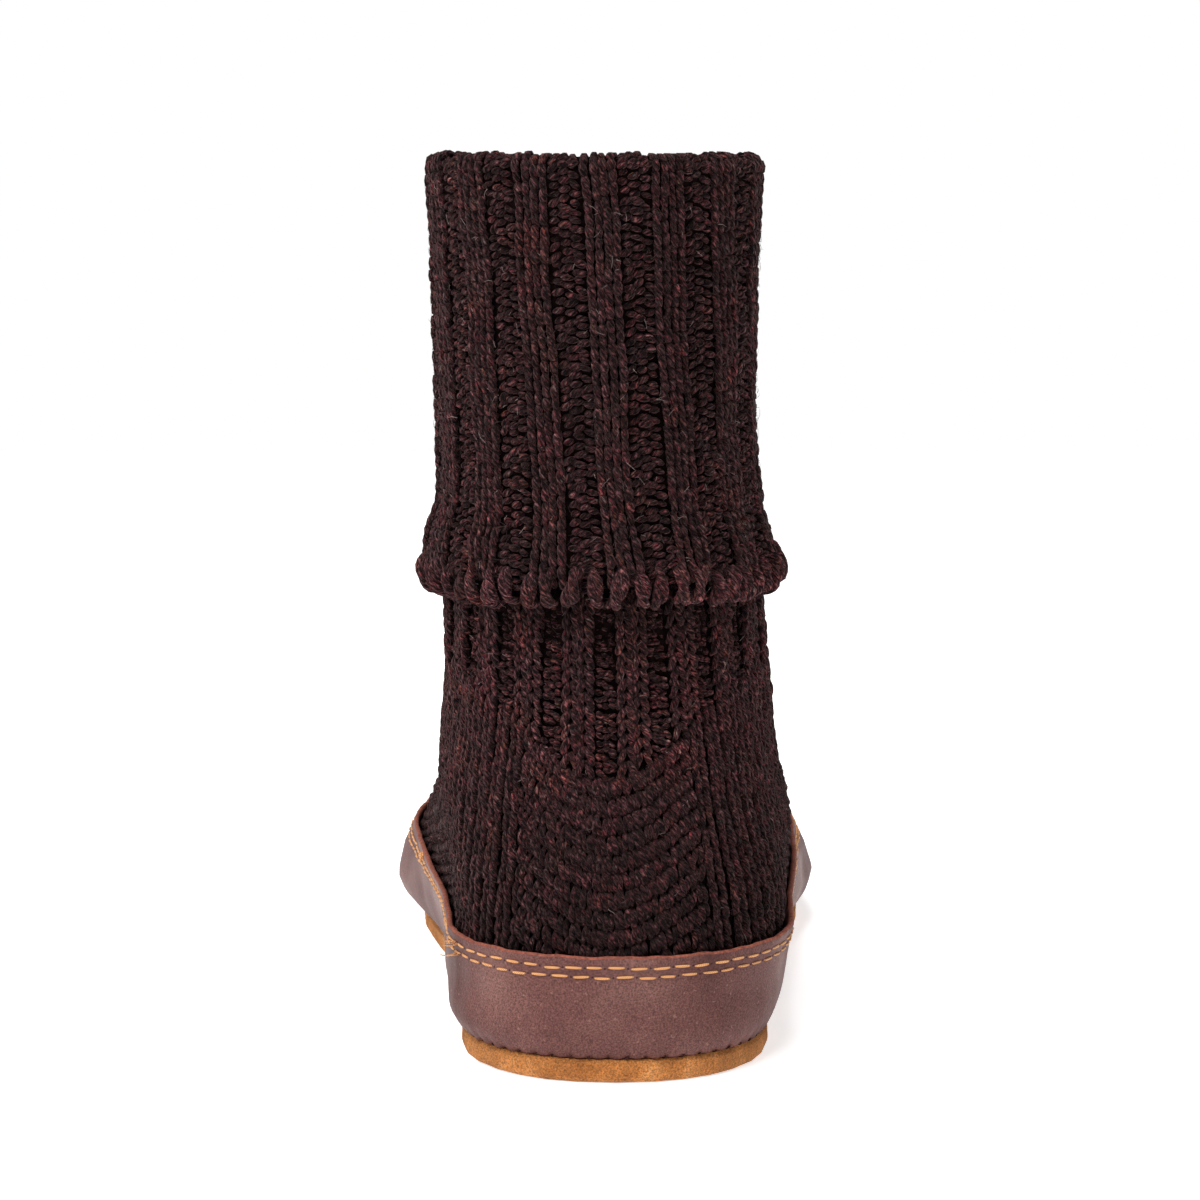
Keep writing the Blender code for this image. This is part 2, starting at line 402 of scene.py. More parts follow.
@dataclass(frozen=True)
class GroundFinish:
    """The felted depth between the stitches, ribbed faintly on the inside, near black as
    painted shade.
    """

    name: str = "knit_depth"
    # Near black: painted shade for the yarn deep in the knit.
    colour: tuple = (0.0022, 0.0010, 0.0010)
    fleck: tuple = (0.0100, 0.0044, 0.0042)
    weave_scale: float = 900.0
    weave_depth: float = 0.4 * MM
    loop_scale: float = 420.0
    loop_depth: float = 0.8 * MM

    def build(self) -> bpy.types.Material:
        """Builds the material of the knit's depth.

        Returns:
            The material.
        """
        board = NodeBoard(self.name)
        place = board.place()
        weave = board.noise(place, self.weave_scale, 3.0, 0.6)
        loops = board.cells(place, self.loop_scale)
        colour = board.ramp(weave, [(0.35, self.colour), (0.75, self.fleck)])
        relief = board.bump(loops, self.loop_depth)
        relief = board.bump(weave, self.weave_depth, 0.8, relief)
        board.surface(Base_Color=colour, Roughness=0.98, Normal=relief,
                      Specular_IOR_Level=0.03)
        return board.material


@dataclass(frozen=True)
class FibreFinish:
    """The stray hairs that stand off the wool."""

    name: str
    colour: tuple
    change_scale: float = 300.0
    shaded: float = 0.55

    def build(self) -> bpy.types.Material:
        """Builds the hair's material.

        Returns:
            The material.
        """
        board = NodeBoard(self.name)
        change = board.noise(board.place(), self.change_scale, 1.0)
        shade = tuple(self.shaded * part for part in self.colour)
        colour = board.ramp(change, [(0.35, shade), (0.65, self.colour)])
        board.surface(Base_Color=colour, Roughness=0.6, Specular_IOR_Level=0.35)
        return board.material


@dataclass(frozen=True)
class LeatherFinish:
    """Soft oiled leather with a fine pebble and a cloudy pull-up."""

    name: str = "oiled_leather"
    dark: tuple = (0.074, 0.027, 0.023)
    mid: tuple = (0.117, 0.047, 0.041)
    worn: tuple = (0.176, 0.084, 0.071)
    dust: tuple = (0.34, 0.18, 0.14)
    dust_part: float = 0.4
    dust_scale: float = 1100.0
    cloud_scale: float = 34.0
    pore_scale: float = 2700.0
    pore_depth: float = 0.08 * MM
    pebble_scale: float = 1900.0
    pebble_depth: float = 0.09 * MM

    def build(self) -> bpy.types.Material:
        """Builds the leather's material.

        Returns:
            The material.
        """
        board = NodeBoard(self.name)
        place = board.place()
        clouds = board.noise(place, self.cloud_scale, 3.0, 0.5)
        pores = board.noise(place, self.pore_scale, 2.0, 0.6)
        pebble = board.cells(place, self.pebble_scale, feature="SMOOTH_F1")
        colour = board.ramp(clouds, [(0.30, self.dark), (0.50, self.mid), (0.74, self.worn)])
        specks = board.ramp(pores, [(0.34, grey(0.55)), (0.66, grey(1.45))])
        colour = board.tint(colour, specks)
        dust = board.ramp(board.noise(place, self.dust_scale, 2.0, 0.4),
                          [(0.68, grey(0.0)), (0.74, grey(1.0))])
        colour = board.blend(board.scaled(dust, self.dust_part), colour, (*self.dust, 1.0))
        rough = board.ramp(clouds, [(0.30, grey(0.60)), (0.75, grey(0.46))])
        relief = board.bump(pebble, self.pebble_depth, 0.7)
        relief = board.bump(pores, self.pore_depth, 0.8, relief)
        board.surface(Base_Color=colour, Roughness=rough, Normal=relief,
                      Specular_IOR_Level=0.14)
        return board.material


@dataclass(frozen=True)
class CutEdgeFinish:
    """The raw red-brown cut edge of the leather."""

    name: str = "cut_edge"
    dark: tuple = (0.095, 0.028, 0.020)
    light: tuple = (0.320, 0.092, 0.055)
    fibre_scale: float = 1300.0
    fibre_depth: float = 0.3 * MM

    def build(self) -> bpy.types.Material:
        """Builds the cut edge's material.

        Returns:
            The material.
        """
        board = NodeBoard(self.name)
        fibres = board.noise(board.place(), self.fibre_scale, 4.0, 0.65)
        colour = board.ramp(fibres, [(0.34, self.dark), (0.66, self.light)])
        relief = board.bump(fibres, self.fibre_depth)
        board.surface(Base_Color=colour, Roughness=0.85, Normal=relief,
                      Specular_IOR_Level=0.25)
        return board.material


@dataclass(frozen=True)
class SuedeFinish:
    """Napped suede, tan with darker rubbed patches."""

    name: str = "napped_suede"
    dark: tuple = (0.36, 0.118, 0.026)
    mid: tuple = (0.57, 0.205, 0.050)
    light: tuple = (0.76, 0.330, 0.105)
    patch_scale: float = 95.0
    nap_scale: float = 2300.0
    nap_depth: float = 0.9 * MM

    def build(self) -> bpy.types.Material:
        """Builds the suede's material.

        Returns:
            The material.
        """
        board = NodeBoard(self.name)
        place = board.place()
        patches = board.noise(place, self.patch_scale, 4.0, 0.6)
        nap = board.noise(place, self.nap_scale, 3.0, 0.75)
        colour = board.ramp(patches, [(0.32, self.dark), (0.50, self.mid),
                                      (0.68, self.light)])
        grain = board.ramp(nap, [(0.38, grey(0.46)), (0.50, grey(0.95)), (0.64, grey(1.35))])
        colour = board.tint(colour, grain)
        relief = board.bump(nap, self.nap_depth)
        board.surface(Base_Color=colour, Roughness=0.96, Normal=relief,
                      Specular_IOR_Level=0.12, Sheen_Weight=0.25, Sheen_Roughness=0.5,
                      Sheen_Tint=(1.0, 0.75, 0.45, 1.0))
        return board.material


@dataclass(frozen=True)
class FeltFinish:
    """Pale brown wool felt."""

    name: str = "wool_felt"
    dark: tuple = (0.16, 0.105, 0.070)
    light: tuple = (0.33, 0.24, 0.17)
    fibre_scale: float = 800.0
    fibre_depth: float = 0.6 * MM

    def build(self) -> bpy.types.Material:
        """Builds the felt's material.

        Returns:
            The material.
        """
        board = NodeBoard(self.name)
        fibres = board.noise(board.place(), self.fibre_scale, 5.0, 0.7)
        colour = board.ramp(fibres, [(0.32, self.dark), (0.68, self.light)])
        relief = board.bump(fibres, self.fibre_depth)
        board.surface(Base_Color=colour, Roughness=0.98, Normal=relief,
                      Specular_IOR_Level=0.1, Sheen_Weight=0.2)
        return board.material


@dataclass(frozen=True)
class ThreadFinish:
    """Waxed sewing thread, seen as twisted strands."""

    name: str = "waxed_thread"
    dark: tuple = (0.42, 0.160, 0.048)
    light: tuple = (0.92, 0.450, 0.180)
    twist: float = 0.7
    grain: float = 1500.0
    ply_scale: float = 0.55
    ply_depth: float = 0.15 * MM

    def build(self) -> bpy.types.Material:
        """Builds the thread's material.

        Returns:
            The material, which reads the thread's UV map.
        """
        board = NodeBoard(self.name)
        place = board.add("UVMap", uv_map=YARN_MAP).outputs["UV"]
        turned = board.add("Mapping", {"Vector": place, "Rotation": (0.0, 0.0, self.twist),
                                       "Scale": (self.grain, self.grain, 1.0)})
        plies = board.add("TexWave", {"Vector": turned.outputs["Vector"],
                                      "Scale": self.ply_scale, "Distortion": 0.8,
                                      "Detail": 1.0}).outputs["Fac"]
        # The dark bands of the ramp are painted shade in the grooves between the twisted
        # strands.
        colour = board.ramp(plies, [(0.1, self.dark), (0.7, self.light)])
        relief = board.bump(plies, self.ply_depth)
        board.surface(Base_Color=colour, Roughness=0.55, Normal=relief,
                      Specular_IOR_Level=0.4)
        return board.material


@dataclass(frozen=True)
class HoleFinish:
    """The dark of a needle hole, painted shade on a small blob where no hole is cut."""

    name: str = "needle_hole"
    colour: tuple = (0.030, 0.011, 0.009)
    light: tuple = (0.054, 0.0198, 0.0162)
    fibre_scale: float = 2000.0

    def build(self) -> bpy.types.Material:
        """Builds the hole's material.

        Returns:
            The material.
        """
        board = NodeBoard(self.name)
        fibres = board.noise(board.place(), self.fibre_scale)
        colour = board.ramp(fibres, [(0.3, self.colour), (0.7, self.light)])
        board.surface(Base_Color=colour, Roughness=0.9, Specular_IOR_Level=0.1)
        return board.material


# ---------------------------------------------------------------- meshes


def unit(vectors: np.ndarray) -> np.ndarray:
    """The vectors at length one, along the last axis."""
    return vectors / np.maximum(np.linalg.norm(vectors, axis=-1, keepdims=True), 1e-12)


def smooth_step(value: np.ndarray | float, low: float, high: float) -> np.ndarray | float:
    """Rises smoothly from 0 at low to 1 at high."""
    t = np.clip((value - low) / (high - low), 0.0, 1.0)
    return t * t * (3.0 - 2.0 * t)


def lengths(lines: np.ndarray) -> np.ndarray:
    """How far along its line of points, (..., n, 3), each point lies."""
    steps = np.linalg.norm(np.diff(lines, axis=-2), axis=-1)
    return np.concatenate([steps[..., :1] * 0.0, np.cumsum(steps, axis=-1)], axis=-1)


def along_line(line: np.ndarray, run: np.ndarray, at: np.ndarray) -> np.ndarray:
    """Reads a line of points.

    Args:
        line: The points, (n, 3).
        run: Where each of them lies along the line.
        at: Where to read it.

    Returns:
        The points read, (..., 3).
    """
    return np.stack([np.interp(at, run, line[:, axis]) for axis in range(3)], axis=-1)


def round_ring(ring: np.ndarray, shares: np.ndarray) -> np.ndarray:
    """Reads a closed ring of points.

    Args:
        ring: The points, (n, 3).
        shares: Shares of the way round, from 0 to 1.

    Returns:
        The points read.
    """
    closed = np.concatenate([ring, ring[:1]])
    run = lengths(closed)
    return along_line(closed, run, shares * run[-1])


def read_points(mesh: bpy.types.Mesh, name: str = "co") -> np.ndarray:
    """Reads a number triple of every vertex.

    Args:
        mesh: The mesh.
        name: What is read: places by default, or normals.

    Returns:
        The triples, (vertices, 3).
    """
    values = np.empty(len(mesh.vertices) * 3)
    mesh.vertices.foreach_get(name, values)
    return values.reshape(-1, 3)


def move_points(mesh: bpy.types.Mesh, points: np.ndarray) -> None:
    """Moves every vertex to its new place."""
    mesh.vertices.foreach_set("co", points.ravel())
    mesh.update()


def make_mesh(name: str, points: np.ndarray, corners: np.ndarray, starts: np.ndarray,
              uv: np.ndarray | None = None,
              tone: np.ndarray | None = None) -> bpy.types.Object:
    """Makes a smooth-shaded mesh object from plain arrays.

    Args:
        name: The piece's name.
        points: The vertices, (n, 3).
        corners: Every face's vertices, one after the other.
        starts: Where each face begins in corners.
        uv: A UV pair for each corner.
        tone: A number for each vertex.

    Returns:
        The object, linked to the scene.
    """
    mesh = bpy.data.meshes.new(name)
    mesh.vertices.add(len(points))
    mesh.vertices.foreach_set("co", np.ascontiguousarray(points, np.float32).ravel())
    mesh.loops.add(len(corners))
    mesh.loops.foreach_set("vertex_index", np.ascontiguousarray(corners, np.int32))
    mesh.polygons.add(len(starts))
    mesh.polygons.foreach_set("loop_start", np.ascontiguousarray(starts, np.int32))
    mesh.update(calc_edges=True)
    mesh.polygons.foreach_set("use_smooth", np.ones(len(starts), bool))
    if uv is not None:
        layer = mesh.uv_layers.new(name=YARN_MAP)
        layer.uv.foreach_set("vector", np.ascontiguousarray(uv, np.float32).ravel())
    if tone is not None:
        layer = mesh.attributes.new(TONE, "FLOAT", "POINT")
        layer.data.foreach_set("value", np.ascontiguousarray(tone, np.float32))
    obj = bpy.data.objects.new(name, mesh)
    bpy.context.scene.collection.objects.link(obj)
    return obj


def dress(obj: bpy.types.Object, *finishes: object) -> bpy.types.Object:
    """Gives a piece its finishes, sharing a material that is already built.

    Args:
        obj: The piece.
        finishes: Its finishes, one for each material slot.

    Returns:
        The piece.
    """
    for finish in finishes:
        material = bpy.data.materials.get(finish.name) or finish.build()
        obj.data.materials.append(material)
    return obj


@dataclass
class Strands:
    """Many short tubes gathered into one mesh."""

    name: str
    sides: int = 6
    points: list = field(default_factory=list)
    corners: list = field(default_factory=list)
    starts: list = field(default_factory=list)
    uv: list = field(default_factory=list)
    tone: list = field(default_factory=list)
    count: int = 0
    corner_count: int = 0

    def lay(self, path: np.ndarray, out: np.ndarray, radius: np.ndarray,
            flat: float = 1.0, tone: np.ndarray | None = None) -> None:
        """Lays tubes along their middle lines.

        Args:
            path: The middle lines, (tubes, samples, 3).
            out: The directions away from the fabric, (tubes, samples, 3).
            radius: The radii, (tubes, samples).
            flat: The tubes' depth as a share of their width.
            tone: A number for each tube, about 0.5.
        """
        tubes, samples = path.shape[:2]
        if tubes == 0:
            return
        sides = self.sides
        along = unit(np.gradient(path, axis=1))
        across = unit(np.cross(along, out))
        up = np.cross(across, along)
        turn = 2.0 * np.pi * np.arange(sides) / sides
        ring = (across[:, :, None] * np.cos(turn)[:, None]
                + up[:, :, None] * np.sin(turn)[:, None] * flat)
        shell = path[:, :, None] + ring * radius[:, :, None, None]
        index = (np.arange(tubes * samples * sides).reshape(tubes, samples, sides)
                 + self.count)
        after = np.roll(index, -1, axis=2)
        quads = np.stack([index[:, :-1], index[:, 1:], after[:, 1:], after[:, :-1]], axis=-1)
        quads = quads.reshape(-1, 4)
        shift = spread(tubes, 5.0)[:, None]
        run = np.broadcast_to((lengths(path) + shift)[:, :, None], index.shape)
        girth = radius.mean() * 2.0 * np.pi
        around = np.broadcast_to(np.arange(sides) / sides * girth, index.shape)
        further = around + girth / sides
        quad_uv = np.stack([
            np.stack([run[:, :-1], around[:, :-1]], -1),
            np.stack([run[:, 1:], around[:, 1:]], -1),
            np.stack([run[:, 1:], further[:, 1:]], -1),
            np.stack([run[:, :-1], further[:, :-1]], -1)], axis=3).reshape(-1, 2)
        caps = np.concatenate([index[:, 0], index[:, -1, ::-1]])
        cap_uv = np.zeros((caps.size, 2))
        self.points.append(shell.reshape(-1, 3))
        self.corners.extend([quads.ravel(), caps.ravel()])
        self.uv.extend([quad_uv, cap_uv])
        self.starts.append(self.corner_count + 4 * np.arange(len(quads)))
        self.corner_count += quads.size
        self.starts.append(self.corner_count + sides * np.arange(len(caps)))
        self.corner_count += caps.size
        tone = np.full(tubes, 0.5) if tone is None else tone
        self.tone.append(np.repeat(tone, samples * sides))
        self.count += tubes * samples * sides

    def finish(self) -> bpy.types.Object:
        """Makes the object from every tube laid so far.

        Returns:
            The object.
        """
        return make_mesh(self.name, np.concatenate(self.points),
                         np.concatenate(self.corners), np.concatenate(self.starts),
                         np.concatenate(self.uv), np.concatenate(self.tone))


RANDOM = np.random.default_rng(20)


def spread(count: int | tuple, width: float) -> np.ndarray:
    """Even random numbers from -width/2 to width/2."""
    return (RANDOM.random(count) - 0.5) * width


def scatter(count: int | tuple, width: float) -> np.ndarray:
    """Bell-shaped random numbers about 0."""
    return np.clip(RANDOM.normal(0.0, width, count), -2.2 * width, 2.2 * width)


# ---------------------------------------------------------------- the knit's form


@dataclass
class Form:
    """A node of the frame, felt from outside or inside by straight rays."""

    node: str
    reach: float = 400.0 * MM
    tree: BVHTree = field(init=False)

    def __post_init__(self) -> None:
        """Reads the node's faces."""
        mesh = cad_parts[self.node].data
        points = [vertex.co.copy() for vertex in mesh.vertices]
        faces = [tuple(polygon.vertices) for polygon in mesh.polygons]
        self.tree = BVHTree.FromPolygons(points, faces)

    def feel(self, centre: np.ndarray, ray: np.ndarray, face: Face) -> np.ndarray:
        """The first face met from far outside, or from the middle.

        Args:
            centre: The middle the ray passes through.
            ray: Its direction, away from the middle.
            face: Which face to find.

        Returns:
            The point met, or nan where nothing is met.
        """
        if face is Face.OUTSIDE:
            start = Vector(centre + ray * self.reach)
            found = self.tree.ray_cast(start, Vector(-ray), self.reach)
        else:
            found = self.tree.ray_cast(Vector(centre), Vector(ray), self.reach)
        return np.array(found[0]) if found[0] is not None else np.full(3, np.nan)

    def ring(self, centre: np.ndarray, back: np.ndarray, steps: int,
             face: Face = Face.OUTSIDE) -> np.ndarray:
        """A closed ring of the form in one plane.

        Args:
            centre: The ring's middle.
            back: The direction in which the ring begins.
            steps: How many points it has.
            face: Which face to follow.

        Returns:
            The points, (steps, 3), going round by the inner side of the foot.
        """
        turns = 2.0 * math.pi * np.arange(steps) / steps
        rays = np.cos(turns)[:, None] * back + np.sin(turns)[:, None] * np.array([1.0, 0, 0])
        ring = np.array([self.feel(centre, ray, face) for ray in rays])
        good = ~np.isnan(ring[:, 0])
        if good.all() or not good.any():
            return ring
        for axis in range(3):
            ring[~good, axis] = np.interp(turns[~good], turns[good], ring[good, axis],
                                          period=2.0 * math.pi)
        return ring


@dataclass
class Wales:
    """Lines of stitches over a face of the knit: (wales, sections, 3) points."""

    points: np.ndarray
    inside_out: bool = False
    swells: tuple = ((0.16 * MM, 5.2 * MM), (0.12 * MM, 2.3 * MM))
    run: np.ndarray = field(init=False)
    out: np.ndarray = field(init=False)
    across: np.ndarray = field(init=False)
    width: np.ndarray = field(init=False)
    phase: np.ndarray = field(init=False)

    def __post_init__(self) -> None:
        """Works out lengths, directions and spacings from the points."""
        self.run = lengths(self.points)
        ahead = unit(np.gradient(self.points, axis=1))
        beside = (np.roll(self.points, -1, axis=0) - np.roll(self.points, 1, axis=0)) / 2.0
        normal = unit(np.cross(ahead, beside))
        middle = self.points.mean(axis=0, keepdims=True)
        if np.einsum("ijk,ijk->ij", normal, self.points - middle)[:, :3].mean() < 0.0:
            normal = -normal
        if self.inside_out:
            normal = -normal
        self.out = normal
        across = unit(np.cross(ahead, normal))
        onward = np.einsum("ijk,ijk->ij", beside, across)
        self.across = across * np.sign(onward)[..., None]
        self.width = np.abs(onward)
        self.phase = RANDOM.random((len(self.points), 2)) * 2.0 * np.pi

    def swell(self, wale: int, run: np.ndarray) -> np.ndarray:
        """How far a wale rises and sinks, softly, along its length.

        Args:
            wale: Which wale.
            run: Distances along it.

        Returns:
            The heights.
        """
        return sum(height * np.sin(run / period + phase)
                   for (height, period), phase in zip(self.swells, self.phase[wale]))

    def at(self, wale: int, run: np.ndarray) -> tuple[np.ndarray, ...]:
        """Reads a wale at distances along it.

        Args:
            wale: Which wale.
            run: The distances, of any shape.

        Returns:
            Points, outward and sideways directions, and the wale's width.
        """
        known = self.run[wale]
        width = np.interp(run, known, self.width[wale])
        out = unit(along_line(self.out[wale], known, run))
        across = unit(along_line(self.across[wale], known, run))
        point = along_line(self.points[wale], known, run)
        return point + out * self.swell(wale, run)[..., None], out, across, width


@dataclass(frozen=True)
class StitchShape:
    """How the two legs of a plain stitch lie in its own width and height."""

    radius: float
    narrow: float
    wide: float
    start: float
    end: float
    dive: float
    depth: float
    bead: float
    samples: int = 7


@dataclass(frozen=True)
class LensShape:
    """A purl bump like a lens: half its length in widths, and its yarn."""

    half: float
    radius: float
    samples: int = 5


@dataclass(frozen=True)
class ArcShape:
    """A purl bump like an arc: its place and half length in widths, its bow in rows."""

    shift: float
    bow: float
    radius: float
    sink: float
    half: float
    samples: int = 5


@dataclass(frozen=True)
class Hand:
    """How one kind of strand leaves the hand: how far it strays, its flatness, its tone."""

    along: float
    aside: float
    size: float
    height: float
    flat: float = 0.95
    tone: float = 0.50
    tone_stray: float = 0.17


@dataclass
class Knitter:
    """Lays plain and purl stitches along wales into tube meshes."""

    wales: Wales
    # Heights and the tone added at each; on the body the drop just under the cuff's edge is
    # painted shade of the cuff.
    levels: tuple = (0.0, 1.0)
    shades: tuple = (-0.21, -0.21)
    leg: Hand = Hand(0.035, 0.018, 0.09, 0.14 * MM, flat=0.92, tone_stray=0.15)
    stroke: Hand = Hand(0.06, 0.028, 0.09, 0.15 * MM)
    lens: Hand = Hand(0.09, 0.045, 0.12, 0.20 * MM)
    arc: Hand = Hand(0.04, 0.04, 0.07, 0.10 * MM, tone=0.46, tone_stray=0.13)
    stroke_lean: float = 0.075
    lens_tilt: float = 0.15
    lens_length: float = 0.16
    arc_tilt: float = 0.10

    def tones(self, path: np.ndarray, hand: Hand) -> np.ndarray:
        """Each strand's tone: about the hand's own, darker or lighter by its height on the
        sock; on the body the drop under the cuff's edge is painted shade.

        Args:
            path: The strands' middle lines.
            hand: How they leave the hand.

        Returns:
            A number for each strand.
        """
        height = path[:, :, 2].mean(axis=1)
        # Tone by height, which on the body holds painted shade under the cuff's edge.
        shade = np.interp(height, self.levels, self.shades)
        return hand.tone + scatter(len(path), hand.tone_stray) + shade

    def lay(self, strands: Strands, wale: int, along: np.ndarray, aside: np.ndarray,
            height: np.ndarray, size: np.ndarray, hand: Hand) -> None:
        """Lays strands that run along, beside and above a wale.

        Args:
            strands: The mesh they go into.
            wale: Their wale.
            along: Distances along the wale, (strands, samples).
            aside: Distances beside its middle, in widths.
            height: Heights over the face.
            size: The yarn's radii.
            hand: How they leave the hand.
        """
        point, out, across, width = self.wales.at(wale, along)
        path = point + across * (aside * width)[..., None] + out * height[..., None]
        strands.lay(path, out, np.broadcast_to(size, along.shape), hand.flat,
                    self.tones(path, hand))

    def legs(self, strands: Strands, wale: int, runs: np.ndarray, pitch: np.ndarray,
             shape: StitchShape, shift: float = 0.0) -> None:
        """Lays both legs of plain stitches.

        Args:
            strands: The mesh they go into.
            wale: Their wale.
            runs: Where each stitch begins along the wale.
            pitch: Each stitch's height.
            shape: The legs' shape.
            shift: How far beside the wale's middle they lie, in widths.
        """
        count = len(runs)
        if count == 0:
            return
        share = np.linspace(0.0, 1.0, shape.samples)
        rise = shape.start + (shape.end - shape.start) * share
        belly = np.sin(np.pi * share)
        open_out = shape.narrow + (shape.wide - shape.narrow) * smooth_step(rise, -0.1, 0.95)
        fall = -shape.dive * (1.0 - np.clip(belly / 0.62, 0.0, 1.0)) ** 1.6
        thick = 0.80 + (0.22 + shape.bead) * np.clip(belly, 0.0, 1.0) ** 0.8
        hand = self.leg
        for side in Side:
            along = runs[:, None] + pitch[:, None] * (rise + scatter((count, 1), hand.along))
            aside = shift + side.value * (open_out + scatter((count, 1), hand.aside))
            size = shape.radius * thick * (1.0 + scatter((count, 1), hand.size))
            height = -shape.depth + fall * shape.radius + scatter((count, 1), hand.height)
            self.lay(strands, wale, along, aside, height, size, hand)

    def strokes(self, strands: Strands, wale: int, runs: np.ndarray, pitch: float,
                shift: float, radius: float, depth: float) -> None:
        """Lays upright single strokes of yarn that dip at both ends.

        Args:
            strands: The mesh they go into.
            wale: Their wale.
            runs: Where each stroke begins along the wale.
            pitch: A row's height.
            shift: How far beside the wale's middle they lie, in widths.
            radius: The yarn's radius.
            depth: How deep their middles lie under the face.
        """
        each = (len(runs), 1)
        hand = self.stroke
        t = np.linspace(-1.0, 1.0, 6)
        along = runs[:, None] + pitch * (0.5 + 0.54 * t + scatter(each, hand.along))
        aside = shift + scatter(each, self.stroke_lean) * t + scatter(each, hand.aside)
        height = -depth - 1.9 * radius * np.abs(t) ** 2.7 + scatter(each, hand.height)
        size = radius * (1.02 - 0.36 * np.abs(t) ** 2.2) * (1.0 + scatter(each, hand.size))
        self.lay(strands, wale, along, aside, height, size, hand)

    def lenses(self, strands: Strands, wale: int, runs: np.ndarray, pitch: float,
               shift: float, sink: np.ndarray | float, tilt: float, shape: LensShape) -> None:
        """Lays short lens-shaped bumps in a column beside a wale's middle.

        Args:
            strands: The mesh they go into.
            wale: The wale.
            runs: Where each bump lies along the wale.
            pitch: The distance between bumps.
            shift: How far beside the wale's middle the column runs, in widths.
            sink: How much deeper than the face they lie.
            tilt: How far the bumps slope, in pitches.
            shape: The bumps' shape.
        """
        radius = shape.radius
        each = (len(runs), 1)
        hand = self.lens
        t = np.linspace(-1.0, 1.0, shape.samples)
        slope = tilt + scatter(each, self.lens_tilt)
        along = runs[:, None] + pitch * (slope * t + scatter(each, hand.along))
        reach = shape.half * (1.0 + scatter(each, self.lens_length))
        aside = shift + reach * t + scatter(each, hand.aside)
        height = -radius - sink - 0.75 * radius * t**2 + scatter(each, hand.height)
        size = radius * (1.02 - 0.44 * np.abs(t) ** 2.4) * (1.0 + scatter(each, hand.size))
        self.lay(strands, wale, along, aside, height, size, hand)

    def arcs(self, strands: Strands, wale: int, runs: np.ndarray, pitch: np.ndarray,
             shape: ArcShape) -> None:
        """Lays purl bumps as short arcs across a wale.

        Args:
            strands: The mesh they go into.
            wale: Their wale.
            runs: Where each bump lies along the wale.
            pitch: The height of a row there.
            shape: The arcs' shape.
        """
        if len(runs) == 0:
            return
        radius = shape.radius
        each = (len(runs), 1)
        hand = self.arc
        t = np.linspace(-1.0, 1.0, shape.samples)
        tilt = scatter(each, self.arc_tilt)
        along = runs[:, None] + pitch[:, None] * (shape.bow * (1.0 - t**2) + tilt * t
                                                  + scatter(each, hand.along))
        aside = shape.shift + shape.half * t + scatter(each, hand.aside)
        dive = 1.35 * radius * np.abs(t) ** 2.6
        height = -radius * 0.9 - shape.sink - dive + scatter(each, hand.height)
        size = radius * (1.06 - 0.26 * t**2) * (1.0 + scatter(each, hand.size))
        self.lay(strands, wale, along, aside, height, size, hand)


# ---------------------------------------------------------------- sub-assemblies


